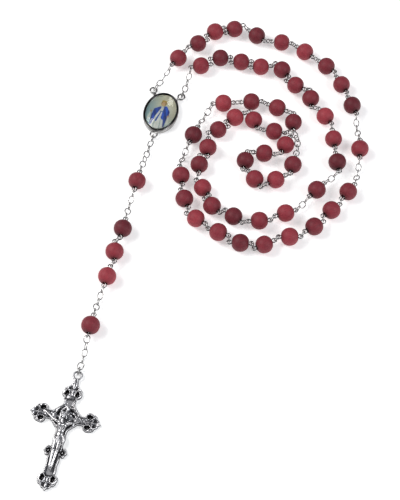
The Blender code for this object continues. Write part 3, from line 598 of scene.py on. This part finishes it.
def centrepiece():
    """The case with its rolled rim and three ears, the picture in it and the clear dome over the picture."""
    case = oval_shell(((1.2, 0.01, 0.16), (1.2, 0.5, 0.13), (1.2, 0.97, 0.10), (1.2, 1, 0.08), (0.5, 1, 0.0),
                       (0.2, 1, 0.06), (0.04, 1, 0.25), (0, 1, 0.6), (0, 1, 1.2), (0, 1, 1.85),
                       (0.05, 1, 1.95), (0.14, 1, 1.99), (0.14, 1, 2.05), (0.04, 1, 2.12), (0, 1, 2.28),
                       (0.06, 1, 2.45),
                       (0.22, 1, 2.57), (0.42, 1, 2.6), (0.62, 1, 2.56), (0.8, 1, 2.42), (0.9, 1, 2.2),
                       (0.92, 1, 1.6), (0.92, 1, 1.2), (1.3, 1, 1.12), (1.3, 0.5, 1.12), (1.3, 0.01, 1.12)))
    parts = [case[:2]]
    middle = lifted(CENTREPIECE, METAL_HEIGHT)
    for name in EARS:
        place = ear_place(name)
        inward = (middle - place).normalized()
        level = inward.cross(UP)
        parts.append(ring_part(place, inward, level, EAR_RADIUS, EAR_WIRE, 40))
        stem = 0.9 if name == "bottom" else 2.2
        for lean in (-0.32, 0.32):  # the ring's two cut ends, brought together and brazed to the wall
            here = place + inward * (EAR_RADIUS * 0.93) + level * lean * 1.2
            there = place + inward * (EAR_RADIUS + stem) + level * lean
            path = np.linspace(np.array(here), np.array(there), 6)
            parts.append(tube(path, UP, EAR_WIRE / 2, 10))
    whole = joined(parts)
    piece = finish_mesh("case", whole[0], whole[1], metal, "centrepiece", ["centrepiece_case"])
    inset = CASE_HALF_WIDTH - np.hypot(case[2], case[3] * CASE_HALF_WIDTH / CASE_HALF_HEIGHT)
    # The crest of the rolled rim, above 2 mm, gets a painted dark reflection in its colour; the ears get
    # none.
    rim_crest_band = bump(inset - 0.5, 0.38) * (case[0][:, 2] > 2.0)
    clean = np.zeros(len(whole[0]) - len(rim_crest_band))
    attribute(piece, "dark_rim_reflection", np.concatenate([np.clip(1.25 * rim_crest_band, 0, 1), clean]))

    share = np.linspace(0.005, 1, 90)
    top = [(RIM + 0.06, k, 1.42 + 0.04 * (1 - k * k)) for k in share]
    points, faces, x, y = oval_shell([(RIM + 0.06, 0.005, 1.14)] + [(RIM + 0.06, 1, 1.14)] + top[::-1], 200)
    piece = finish_mesh("picture", points, faces, picture, "centrepiece", ["centrepiece_picture"])
    colour_attribute(piece, "paint", painted_picture(x, y))

    rise = np.linspace(1, 0.01, 26)
    crown = [(RIM + 0.05, k, 2.35 + 1.5 * (1 - k ** 2.3)) for k in rise]
    foot = [(RIM + 0.05, 0.01, 1.5), (RIM + 0.05, 0.98, 1.5), (RIM + 0.05, 1, 1.55)]
    points, faces, x, y = oval_shell(foot + crown)
    piece = finish_mesh("dome", points, faces, resin, "centrepiece", ["centrepiece_dome"])


# ---------------------------------------------------------------- crucifix

def on_cross(points):
    """Points given across, up and out from the crossing, moved to where the crucifix lies."""
    c, s = math.cos(CROSS_TURN), math.sin(CROSS_TURN)
    x, y = points[:, 0], points[:, 1] - CROSSING
    return np.stack([CROSS_RING.x + x * c - y * s, CROSS_RING.y + x * s + y * c, points[:, 2]], axis=-1)


def bump(distance, width):
    """A smooth hump: 1 at no distance, falling like a bell."""
    return np.exp(-(distance / width) ** 2)


def along_and_across(x, y, side):
    return x * side[0] + y * side[1], -x * side[1] + y * side[0]


ENDS = (((0, 1), CROSSING - 3.2), ((0, -1), CROSS_LENGTH - CROSSING), ((-1, 0), CROSS_HALF_SPAN),
        ((1, 0), CROSS_HALF_SPAN))


def cross_outline(x, y):
    """How deep inside the cross each point is, in millimetres: the greatest of the depths inside the
    upright, the bar, four ends that flare and come to a point, the web behind the crossing, the neck
    under the ring and two five-lobed knobs."""
    half = SHAFT_WIDTH / 2
    depth = np.minimum(half - np.abs(x) + 0.12 * np.cos(1.6 * y), np.minimum(10.0 - y, 22.5 + y))
    depth = np.maximum(depth, np.minimum(half - 0.35 - np.abs(y) + 0.12 * np.cos(1.6 * x), 10.0 - np.abs(x)))
    for side, reach in ENDS:
        a, c = along_and_across(x, y, side)
        c = np.abs(c)
        tip = (reach - a) * 0.78 - (c - 0.6) * 0.62
        scallop = 0.14 * np.cos(4.6 * c)
        depth = np.maximum(depth, np.minimum.reduce([tip + scallop, 3.35 - c, a - (reach - 4.9)]))
        depth = np.maximum(depth, 1.72 - np.hypot(a - (reach - 3.9), c - 1.95))
    depth = np.maximum(depth, (6.9 - np.abs(x) - np.abs(y)) * 0.7 + 0.12 * np.cos(5 * (x - y)))
    neck = 0.95 + 0.16 * np.abs(14.2 - y)
    depth = np.maximum(depth, np.minimum(neck - np.abs(x), np.minimum(15.0 - y, y - 9)))
    for way in (-1, 1):
        dx, dy = x - way * (half + 0.35), y - KNOBS
        lobes = 1.55 + 0.16 * np.cos(5 * np.arctan2(dy, dx * way))
        depth = np.maximum(depth, lobes - np.hypot(dx, dy * 0.86))
    return depth


def cross_relief(x, y, depth):
    """The height of the cast face: a field, a raised edge, rimmed oval pits and fanned reeds on the ends,
    scrolls and gaps on the web, and petals on the knobs."""
    z = 1.18 + 0.42 * bump(depth - 0.42, 0.26)
    ring = np.hypot(x, y)
    off_bars = np.clip((np.minimum(np.abs(x), np.abs(y)) - 0.8) * 2, 0, 1)
    web = np.clip((6.3 - np.abs(x) - np.abs(y)) * 1.4, 0, 1) * off_bars
    angle = np.arctan2(y, x)
    z += web * (0.34 * np.cos(4 * angle + 5.2 * ring) + 0.1)
    gap = bump(ring - 3.0, 0.62) * np.clip(1.3 * np.abs(np.sin(2 * angle)) - 0.1, 0, 1) * (y > -1.2)
    z -= 1.15 * gap + 0.75 * web * bump(ring - 4.9, 0.36) * (np.cos(8 * angle) > -0.2)
    for side, reach in ENDS:
        a, c = along_and_across(x, y, side)
        out = np.clip((a - (reach - 4.9)) * 1.5, 0, 1)
        fan = np.arctan2(c, a - (reach - 5.6))
        reeds = np.clip((a - (reach - 2.7)) * 2.2, 0, 1) * np.clip(depth / 0.5, 0, 1)
        z += reeds * (0.30 * np.cos(13 * fan) - 0.05)
        z += out * 0.34 * bump(a - (reach - 2.45), 0.22) * (np.abs(c) < 3)
        z += out * 0.42 * bump(c, 0.34) * (a < reach - 2.4)
        for way in (-1, 1):
            away = np.hypot((a - (reach - 3.9)) / 1.1, (c - way * 1.9) / 0.8)
            z += 0.46 * bump(away - 1.12, 0.25)
            z = np.where(away < 1.0, np.minimum(z, 1.45 - 1.1 * np.clip((1.0 - away) / 0.35, 0, 1)), z)
    stem = (np.abs(x) < 1.5) & (y < -4.5) & (y > -21.5)
    z -= 0.28 * stem * np.clip((1.5 - np.abs(x)) * 3, 0, 1)
    arm = (np.abs(y) < 1.2) & (np.abs(x) > 4.5) & (np.abs(x) < 8.5)
    z += arm * (0.16 * np.cos(4.4 * x) * np.cos(3.4 * y) - 0.1)
    for way in (-1, 1):
        dx, dy = x - way * (SHAFT_WIDTH / 2 + 0.35), y - KNOBS
        away = np.hypot(dx, dy * 0.86)
        petals = np.clip((1.6 - away) * 3, 0, 1)
        five = np.cos(5 * np.arctan2(dy, dx * way))
        z += petals * (0.42 * five * bump(away - 0.95, 0.4) + 0.25 * bump(away, 0.3))
        z -= 0.7 * bump(away - 0.5, 0.13) * petals
    return z


def smoothed(grid, steps):
    """Each value of a grid averaged with its neighbours, that many times."""
    for _ in range(steps):
        grid = (grid + np.roll(grid, 1, 0) + np.roll(grid, -1, 0)) / 3
        grid = (grid + np.roll(grid, 1, 1) + np.roll(grid, -1, 1)) / 3
    return grid


def relief_plate():
    """The cross as two sheets over a fine grid: its face and its back. Points next to the outline are
    moved onto it, and the two sheets share them, so the plate is closed."""
    step = 0.115
    x, y = np.meshgrid(np.arange(-13.4, 13.5, step), np.arange(-27.4, 15.8, step), indexing="ij")
    depth = cross_outline(x, y)
    gx, gy = np.gradient(smoothed(depth, 1), step)
    steep = np.maximum(gx ** 2 + gy ** 2, 0.2)
    near = np.abs(depth) < 0.7 * step
    x, y = np.where(near, x - depth * gx / steep, x), np.where(near, y - depth * gy / steep, y)
    depth = np.where(near, 0.0, depth)
    inside = depth >= 0
    cells = inside[:-1, :-1] & inside[1:, :-1] & inside[:-1, 1:] & inside[1:, 1:]
    touching = np.zeros(x.shape, int)
    for a, b in ((0, 0), (1, 0), (0, 1), (1, 1)):
        touching[a:a + cells.shape[0], b:b + cells.shape[1]] += cells
    rounding = np.sqrt(1 - (1 - np.clip(depth / 0.45, 0, 1)) ** 2)
    face = 0.75 + (smoothed(cross_relief(x, y, depth), 1) - 0.75) * rounding
    back = 0.75 - 0.72 * rounding
    used, edge = touching > 0, (touching > 0) & (touching < 4)
    face, back = np.where(edge, 0.75, face), np.where(edge, 0.75, back)
    level = smoothed(np.where(used, face, 1.3), 9)
    hollow = np.clip((level - face) / 0.4 + 0.35, 0, 1)
    inner = used & ~edge
    top = np.full(x.shape, -1)
    top[used] = np.arange(used.sum())
    bottom = top.copy()
    bottom[inner] = used.sum() + np.arange(inner.sum())
    points = np.concatenate([np.stack([x[used], y[used], face[used]], axis=-1),
                             np.stack([x[inner], y[inner], back[inner]], axis=-1)])
    shade = np.concatenate([hollow[used], np.full(inner.sum(), 0.25)])
    r, c = np.nonzero(cells)
    up = np.stack([top[r, c], top[r + 1, c], top[r + 1, c + 1], top[r, c + 1]], axis=-1)
    down = np.stack([bottom[r, c], bottom[r, c + 1], bottom[r + 1, c + 1], bottom[r + 1, c]], axis=-1)
    return points, np.concatenate([up, down]).tolist(), shade


def ellipsoid(centre, radii, lean=0.0, steps=(16, 24)):
    """A rounded part of the figure, turned by lean about the height axis."""
    a = np.linspace(0.02, math.pi - 0.02, steps[0])[:, None]
    b = np.linspace(0, 2 * math.pi, steps[1], endpoint=False)[None, :]
    x = radii[0] * np.sin(a) * np.cos(b)
    y = radii[1] * np.cos(a) * np.ones_like(b)
    z = radii[2] * np.sin(a) * np.sin(b)
    c, s = math.cos(lean), math.sin(lean)
    points = np.stack([centre[0] + x * c - y * s, centre[1] + x * s + y * c, centre[2] + z], axis=-1)
    faces = grid_faces(*steps, False, True).tolist()
    last = (steps[0] - 1) * steps[1]
    faces += [list(range(steps[1] - 1, -1, -1)), list(range(last, last + steps[1]))]
    return points.reshape(-1, 3), faces


def limb(points, radii, steps=9):
    """A limb through points, as a row of balls along it whose size eases from one radius to the next."""
    parts = []
    for p, q, r0, r1 in zip(points, points[1:], radii, radii[1:]):
        for t in np.linspace(0, 1, steps):
            centre = [a + (b - a) * t for a, b in zip(p, q)]
            r = r0 + (r1 - r0) * (3 * t * t - 2 * t ** 3)
            parts.append(ellipsoid(centre, (r, r, r * 0.92), steps=(8, 12)))
    return parts


def figure_parts():
    """The figure on the cross: its head leans to one side, its arms reach out and up, its legs are together.
    The face is a plain calm one: eyes half way down the head, the nose's end a quarter lower."""
    face = CROSS_THICKNESS
    lean = 0.35
    head = np.array([-0.6, 0.2, face + 1.35])
    c, s = math.cos(lean), math.sin(lean)

    def on_head(x, y, z):
        return (head[0] + x * c - y * s, head[1] + x * s + y * c, head[2] + z)

    parts = [ellipsoid(head, (0.86, 1.12, 0.95), lean)]
    parts.append(ellipsoid(on_head(0, 0.25, -0.2), (1.08, 1.12, 0.9), lean))  # hair, parted at the middle
    for side in (-1, 1):
        parts += limb([on_head(side * 0.75, 0.5, 0.1), on_head(side * 0.98, -0.5, 0.0),
                       on_head(side * 0.9, -1.35, -0.3)], (0.36, 0.32, 0.24), 7)
        for place, size in (((0.31, 0.16, 0.84), (0.24, 0.07, 0.16)),  # brow
                            ((0.3, 0.0, 0.76), (0.13, 0.075, 0.12)),  # closed eye
                            ((0.36, -0.28, 0.66), (0.22, 0.24, 0.2))):  # cheek
            parts.append(ellipsoid(on_head(side * place[0], *place[1:]), size, lean, (10, 14)))
    parts += limb([on_head(0, 0.1, 0.86), on_head(0, -0.27, 1.06)], (0.075, 0.12), 6)
    parts.append(ellipsoid(on_head(0, -0.47, 0.84), (0.2, 0.055, 0.13), lean, (10, 14)))  # mouth
    parts.append(ellipsoid(on_head(0, -0.83, 0.5), (0.5, 0.5, 0.4), lean))  # short beard
    for k in range(14):  # a plain twisted circlet
        a = 2 * math.pi * k / 14
        parts.append(ellipsoid(on_head(1.0 * math.cos(a), 0.62 + 0.12 * math.sin(3 * a), 0.85 * math.sin(a)),
                               (0.22, 0.14, 0.22), lean + 0.5 * (-1) ** k, (8, 10)))
    parts += limb([(-0.35, -2.3, face + 1.0), (-0.5, -0.9, face + 1.1)], (0.55, 0.48), 6)
    for side in (-1, 1):
        parts.append(ellipsoid((side * 0.72, -3.3, face + 1.15), (0.95, 0.85, 0.72), side * 0.25))  # chest
        parts.append(ellipsoid((side * 1.25, -2.55, face + 0.95), (0.66, 0.58, 0.6)))  # shoulder
        for rib in range(3):
            place = (side * 0.78, -4.15 - 0.42 * rib, face + 1.08)
            parts.append(ellipsoid(place, (0.72, 0.15, 0.52), side * 0.35, (8, 14)))
        arm = [(side * 1.4, -2.5, face + 0.95), (side * 3.9, -1.55, face + 0.8),
               (side * 6.5, 0.05, face + 0.65), (side * 7.3, 0.5, face + 0.55)]
        parts += limb(arm, (0.52, 0.42, 0.3, 0.34), 10)
        parts.append(ellipsoid((side * 2.4, -2.15, face + 1.0), (0.75, 0.42, 0.44), side * 0.35))  # upper arm
        for finger in range(4):
            tip = (side * (7.95 - 0.08 * abs(finger - 1.5)), 0.95 - 0.26 * finger, face + 0.6)
            parts += limb([(side * 7.3, 0.68 - 0.17 * finger, face + 0.6), tip], (0.13, 0.09), 5)
        leg = [(side * 0.72, -8.9, face + 0.95), (side * 0.66 + 0.1, -12.6, face + 1.35),
               (side * 0.45, -16.8, face + 0.95), (side * 0.34, -18.4, face + 0.8)]
        parts += limb(leg, (0.82, 0.62, 0.42, 0.4), 12)
        parts.append(ellipsoid((side * 0.66 + 0.1, -12.7, face + 1.6), (0.44, 0.55, 0.4)))  # knee
        parts.append(ellipsoid((side * 0.55, -14.6, face + 1.0), (0.52, 1.3, 0.5)))  # calf
        parts += limb([(side * 0.34, -18.3, face + 0.85), (side * 0.22, -19.5, face + 0.5)], (0.4, 0.3), 6)
    parts.append(ellipsoid((0.0, -4.4, face + 0.75), (1.3, 2.2, 0.75)))
    parts.append(ellipsoid((0.05, -6.6, face + 0.8), (1.12, 1.7, 0.68)))  # waist
    parts.append(ellipsoid((0.05, -8.4, face + 0.85), (1.5, 1.25, 0.82)))
    for fold in range(6):  # the cloth's folds, from one hip down to the other
        parts += limb([(-1.45, -7.5 - 0.42 * fold, face + 0.9), (0.0, -8.0 - 0.4 * fold, face + 1.6),
                       (1.4, -7.2 - 0.36 * fold, face + 0.95)], (0.2, 0.24, 0.2), 8)
    tail = [(1.5, -7.2, face + 1.0), (2.0, -8.6, face + 0.8), (1.75, -10.2, face + 0.6)]
    parts += limb(tail, (0.34, 0.4, 0.18), 8)
    return parts


def remeshed(name, points, faces, voxel):
    """One skin over overlapping parts, by voxels of that size, with the steps between them smoothed."""
    mesh = bpy.data.meshes.new(name)
    mesh.from_pydata(points.tolist(), [], faces)
    worked = bpy.data.objects.new(name, mesh)
    bpy.context.scene.collection.objects.link(worked)
    skin = worked.modifiers.new("skin", "REMESH")
    skin.mode, skin.voxel_size = "VOXEL", voxel
    ease = worked.modifiers.new("ease", "SMOOTH")
    ease.factor, ease.iterations = 0.5, 3
    bpy.context.view_layer.update()
    made = worked.evaluated_get(bpy.context.evaluated_depsgraph_get()).to_mesh()
    count = len(made.vertices)
    out = np.zeros(count * 3)
    made.vertices.foreach_get("co", out)
    quads = [tuple(polygon.vertices) for polygon in made.polygons]
    bpy.data.objects.remove(worked)
    bpy.data.meshes.remove(mesh)
    return out.reshape(-1, 3), quads


def hollows(points, cell=0.12, steps=6):
    """How far each point lies below the average of the highest points round it, from 0 to 1."""
    ix = ((points[:, 0] - points[:, 0].min()) / cell).astype(int)
    iy = ((points[:, 1] - points[:, 1].min()) / cell).astype(int)
    highest = np.full((ix.max() + 1, iy.max() + 1), CROSS_THICKNESS)
    np.maximum.at(highest, (ix, iy), points[:, 2])
    level = smoothed(highest, steps)
    return np.clip((level[ix, iy] - points[:, 2]) / 0.45 + 0.25, 0, 1)


def crucifix():
    points, faces, shade = relief_plate()
    ring = ring_part((0, CROSSING, METAL_HEIGHT - 0.4), Vector((1, 0, 0)), Vector((0, 1, 0)), 1.5, 0.8, 48)
    path = np.linspace([0, 12.6, 0.95], [0, CROSSING - 1.35, 1.1], 6)
    stem = tube(path, (0, 0, 1), np.linspace(0.95, 0.6, 6), 14)
    whole = joined([(points, faces), ring, stem])
    piece = finish_mesh("cross", on_cross(whole[0]), whole[1], antique, "crucifix", ["crucifix_cross"])
    rest = len(whole[0]) - len(points)
    attribute(piece, "hollow", np.concatenate([shade, np.full(rest, 0.3)]))

    points, faces = joined(figure_parts())
    points, faces = remeshed("figure_skin", points, faces, 0.085)
    piece = finish_mesh("figure", on_cross(points), faces, antique, "crucifix", ["crucifix_corpus"])
    attribute(piece, "hollow", hollows(points))

    u, v = np.meshgrid(np.linspace(-1, 1, 60), np.linspace(-1, 1, 24), indexing="ij")
    x = 2.35 * u
    y = 7.25 + 0.68 * v * (1 + 0.16 * u * u) - 0.28 * u * u
    rim = np.maximum(np.abs(u), np.abs(v))
    z = 2.1 + 0.1 * np.cos(math.pi * u) + 0.14 * bump(rim - 0.86, 0.09)
    z -= 0.3 * np.clip(rim - 0.93, 0, 1) / 0.07
    front = np.stack([x, y, z], axis=-1).reshape(-1, 3)
    back = front * np.array([1, 1, 0]) + np.array([0, 0, 1.35])
    sheet = grid_faces(60, 24, False, False)
    count = len(front)
    ids = np.arange(count).reshape(60, 24)
    border = np.concatenate([ids[:-1, 0], ids[-1, :-1], ids[:0:-1, -1], ids[0, :0:-1]])
    walls = np.stack([border, np.roll(border, -1), np.roll(border, -1) + count, border + count], axis=-1)
    faces = np.concatenate([sheet[:, ::-1], sheet + count, walls[:, ::-1]]).tolist()
    points = np.concatenate([front, back])
    piece = finish_mesh("blank_scroll", on_cross(points), faces, antique, "crucifix",
                        ["crucifix_title_plate"])
    attribute(piece, "hollow", np.clip(0.3 + 0.5 * bump(np.append(rim, np.ones(count)) - 0.7, 0.12), 0, 1))


# ---------------------------------------------------------------- materials

def new_material(name):
    made = bpy.data.materials.new(name)
    made.use_nodes = True
    tree = made.node_tree
    return made, tree, tree.nodes["Principled BSDF"]


def add(tree, kind, inputs=(), **settings):
    """A new node with its settings, and its inputs linked or set."""
    made = tree.nodes.new(kind)
    for key, value in settings.items():
        setattr(made, key, value)
    for key, value in dict(inputs).items():
        if isinstance(value, bpy.types.NodeSocket):
            tree.links.new(value, made.inputs[key])
        else:
            made.inputs[key].default_value = value
    return made


def named(tree, name):
    return add(tree, "ShaderNodeAttribute", attribute_name=name)


def math_node(tree, operation, a, b=0.5, clamp=False):
    return add(tree, "ShaderNodeMath", {0: a, 1: b}, operation=operation, use_clamp=clamp).outputs[0]


def ramp(tree, value, stops):
    made = add(tree, "ShaderNodeValToRGB", {"Fac": value})
    elements = made.color_ramp.elements
    while len(elements) < len(stops):
        elements.new(0.5)
    for element, (place, colour) in zip(elements, stops):
        element.position = place
        element.color = (*colour, 1)
    return made.outputs["Color"]


def mix(tree, share, a, b, blend="MIX"):
    made = add(tree, "ShaderNodeMix", data_type="RGBA", blend_type=blend)
    for key, value in (("Factor", share), ("A", a), ("B", b)):
        socket = next(s for s in made.inputs if s.name == key and s.enabled)
        if isinstance(value, bpy.types.NodeSocket):
            tree.links.new(value, socket)
        else:
            socket.default_value = value if key == "Factor" else (*value, 1)
    return next(s for s in made.outputs if s.enabled)


def times_plus(tree, value, by, plus):
    return add(tree, "ShaderNodeMath", {0: value, 1: by, 2: plus}, operation="MULTIPLY_ADD").outputs[0]


def noise(tree, place, scale, detail=2.0, roughness=0.5):
    """Soft noise from 0 to 1."""
    inputs = {"Vector": place, "Scale": scale, "Detail": detail, "Roughness": roughness}
    return add(tree, "ShaderNodeTexNoise", inputs).outputs["Fac"]


def raised(tree, shader, height, strength, distance):
    """Turns a surface's normal as if it had this height, in metres at full strength."""
    relief = add(tree, "ShaderNodeBump", {"Height": height, "Strength": strength, "Distance": distance})
    tree.links.new(relief.outputs["Normal"], shader.inputs["Normal"])


def surface_grain():
    """The node group that the metals, the picture, the dome and the floor share: noise over a piece's own
    place, whose scale, detail and roughness are the inputs. Its one output is a value from 0 to 1."""
    group = bpy.data.node_groups.new("surface_grain", "ShaderNodeTree")
    for name in ("Scale", "Detail", "Roughness"):
        group.interface.new_socket(name, in_out="INPUT", socket_type="NodeSocketFloat")
    group.interface.new_socket("Grain", in_out="OUTPUT", socket_type="NodeSocketFloat")
    given, result = group.nodes.new("NodeGroupInput"), group.nodes.new("NodeGroupOutput")
    place = add(group, "ShaderNodeTexCoord").outputs["Object"]
    value = noise(group, place, *(given.outputs[name] for name in ("Scale", "Detail", "Roughness")))
    group.links.new(value, result.inputs["Grain"])
    return group


def grained(tree, scale, detail=2.0, roughness=0.5):
    """The shared grain, placed in a material with its own values."""
    values = {"Scale": scale, "Detail": detail, "Roughness": roughness}
    return add(tree, "ShaderNodeGroup", values, node_tree=grain_group).outputs["Grain"]


def dyed_wood():
    """Turned hardwood soaked in dark red dye: fibres run along the bore, end grain at the mouths has
    drunk more dye, and pores are darker specks. The surface is satin, a little polished by handling."""
    made, tree, shader = new_material("dyed_wood")
    place = named(tree, "in_bead").outputs["Vector"]
    stretch = add(tree, "ShaderNodeVectorMath", {0: place, 1: (0.35, 2.6, 2.6)}, operation="MULTIPLY")
    grain = noise(tree, stretch.outputs[0], 1.5, 6.0, 0.62)
    fibres = noise(tree, stretch.outputs[0], 3.6, 5.0, 0.75)
    blotches = math_node(tree, "MULTIPLY", noise(tree, place, 0.28), 0.22)
    depth = times_plus(tree, named(tree, "dye").outputs["Fac"], 0.55, 0.06)
    varied = math_node(tree, "ADD", depth, math_node(tree, "MULTIPLY", grain, 0.5), True)
    varied = math_node(tree, "SUBTRACT", varied, blotches, True)
    colour = ramp(tree, varied, ((0.0, (0.075, 0.012, 0.018)), (0.3, (0.19, 0.028, 0.040)),
                                 (0.62, (0.35, 0.046, 0.064)), (1.0, (0.58, 0.085, 0.105))))
    streak = ramp(tree, fibres, ((0.36, (0.34, 0.30, 0.32)), (0.50, (1, 1, 1)), (1.0, (1.25, 1.12, 1.10))))
    colour = mix(tree, 0.8, colour, streak, "MULTIPLY")
    scaled = math_node(tree, "DIVIDE", named(tree, "from_bore").outputs["Fac"], 2.6, True)
    mouth = math_node(tree, "SUBTRACT", 1.0, scaled, True)
    tree.links.new(mix(tree, mouth, colour, (0.05, 0.009, 0.012)), shader.inputs["Base Color"])
    tree.links.new(times_plus(tree, fibres, 0.24, 0.44), shader.inputs["Roughness"])
    shader.inputs["Specular IOR Level"].default_value = 0.26
    shader.inputs["Coat Weight"].default_value = 0.04
    shader.inputs["Coat Roughness"].default_value = 0.42
    raised(tree, shader, fibres, 0.28, 0.00012)
    return made


def bright_metal():
    """Silver-plated wire and case: bright, with faint drawing lines and a few duller handled spots. Along the
    crest of the case's rolled rim the colour is mixed towards near-black, a painted dark reflection."""
    made, tree, shader = new_material("bright_silver_plate")
    spots = grained(tree, 420.0, 4.0, 0.6)
    colour = ramp(tree, spots, ((0.3, (0.26, 0.255, 0.25)), (0.55, (0.44, 0.435, 0.43)),
                                (1.0, (0.68, 0.67, 0.66))))
    # Painted dark reflection: where this is high, on the rim's crest, the colour goes near-black.
    dark_rim_reflection = named(tree, "dark_rim_reflection").outputs["Fac"]
    tree.links.new(mix(tree, dark_rim_reflection, colour, (0.035, 0.033, 0.034)), shader.inputs["Base Color"])
    tree.links.new(times_plus(tree, spots, -0.14, 0.24), shader.inputs["Roughness"])
    shader.inputs["Metallic"].default_value = 1.0
    raised(tree, shader, grained(tree, 2600.0), 0.12, 0.00004)
    return made


def antiqued_metal():
    """Cast silver with a black antique finish that was polished off the high parts: the hollows are dark
    and dull, the tops bright, with a grainy line between them."""
    made, tree, shader = new_material("antique_silver_cast")
    edge = times_plus(tree, grained(tree, 1500.0, 5.0, 0.65), 0.34, -0.17)
    hollow = math_node(tree, "ADD", named(tree, "hollow").outputs["Fac"], edge, True)
    colour = ramp(tree, hollow, ((0.10, (0.66, 0.65, 0.66)), (0.36, (0.40, 0.40, 0.42)),
                                 (0.55, (0.11, 0.11, 0.12)), (0.80, (0.02, 0.018, 0.018))))
    tree.links.new(colour, shader.inputs["Base Color"])
    tree.links.new(times_plus(tree, hollow, 0.34, 0.22), shader.inputs["Roughness"])
    shader.inputs["Metallic"].default_value = 1.0
    raised(tree, shader, grained(tree, 5200.0), 0.22, 0.00005)
    return made


def printed_picture():
    """A small print under the dome: painted colours with faint paper mottle."""
    made, tree, shader = new_material("printed_picture")
    mottle = grained(tree, 1800.0, 3.0)
    tint = ramp(tree, mottle, ((0.3, (0.93, 0.93, 0.92)), (0.7, (1.04, 1.04, 1.05))))
    paint = add(tree, "ShaderNodeVertexColor", layer_name="paint").outputs["Color"]
    tree.links.new(mix(tree, 1.0, paint, tint, "MULTIPLY"), shader.inputs["Base Color"])
    shader.inputs["Roughness"].default_value = 0.55
    raised(tree, shader, mottle, 0.08, 0.00003)
    return made


def clear_dome():
    """Clear poured resin, smooth and very slightly uneven."""
    made, tree, shader = new_material("clear_resin_dome")
    shader.inputs["Base Color"].default_value = (0.97, 0.99, 0.985, 1)
    shader.inputs["Roughness"].default_value = 0.02
    shader.inputs["IOR"].default_value = 1.46
    shader.inputs["Transmission Weight"].default_value = 1.0
    raised(tree, shader, grained(tree, 160.0, 1.0), 0.05, 0.00006)
    return made


def pale_paper():
    """A white table with a trace of mottle, lit a little from within so that shadows stay pale."""
    made, tree, shader = new_material("pale_paper_floor")
    tint = ramp(tree, grained(tree, 30.0), ((0.3, (0.93, 0.93, 0.93)), (0.7, (0.945, 0.945, 0.945))))
    tree.links.new(tint, shader.inputs["Base Color"])
    shader.inputs["Roughness"].default_value = 0.9
    shader.inputs["Emission Color"].default_value = (1, 1, 1, 1)
    shader.inputs["Emission Strength"].default_value = 0.42
    return made


# ---------------------------------------------------------------- stage

def soft_light(name, place, size, power, colour=(1, 1, 1)):
    """A square light that faces the middle of the table."""
    lamp = bpy.data.lights.new(name, "AREA")
    lamp.shape, lamp.size, lamp.energy, lamp.color = "SQUARE", size, power, colour
    piece = bpy.data.objects.new(name, lamp)
    piece.location = place
    piece.rotation_mode = "QUATERNION"
    piece.rotation_quaternion = (-Vector(place)).to_track_quat("-Z", "Y")
    bpy.context.scene.collection.objects.link(piece)


def stage_and_lights():
    mesh = bpy.data.meshes.new("floor")
    half = 1.6
    corners = [(-half, -half, 0), (half, -half, 0), (half, half, 0), (-half, half, 0)]
    mesh.from_pydata(corners, [], [(0, 1, 2, 3)])
    mesh.materials.append(pale_paper())
    floor = bpy.data.objects.new("floor", mesh)
    bpy.context.scene.collection.objects.link(floor)
    world = bpy.data.worlds.new("soft_room")
    world.use_nodes = True
    world.node_tree.nodes["Background"].inputs["Color"].default_value = (0.86, 0.89, 0.95, 1)
    world.node_tree.nodes["Background"].inputs["Strength"].default_value = 0.2
    bpy.context.scene.world = world
    soft_light("key", (-0.62, 0.16, 0.74), 0.5, 6.2, (1.0, 0.985, 0.96))
    soft_light("fill", (0.62, -0.3, 0.62), 0.5, 3.8, (0.96, 0.98, 1.0))


def camera():
    """Looks at the middle of the layout from 63 degrees above the table."""
    lens = bpy.data.cameras.new("camera")
    lens.sensor_width, lens.lens = 36.0, 82.73
    lens.clip_start, lens.clip_end = 0.01, 20
    piece = bpy.data.objects.new("camera", lens)
    target = (Vector((0, 0, 3.4)) + Vector(SHIFT)) * MM
    lean = math.radians(27)
    piece.location = target + 0.432 * Vector((0, -math.sin(lean), math.cos(lean)))
    piece.rotation_euler = (lean, 0, 0)
    bpy.context.scene.collection.objects.link(piece)
    bpy.context.scene.camera = piece


grain_group = surface_grain()
wood = dyed_wood()
metal = bright_metal()
antique = antiqued_metal()
picture = printed_picture()
resin = clear_dome()

loop()
pendant()
centrepiece()
crucifix()
stage_and_lights()
camera()
bpy.context.scene.view_settings.view_transform = "Standard"
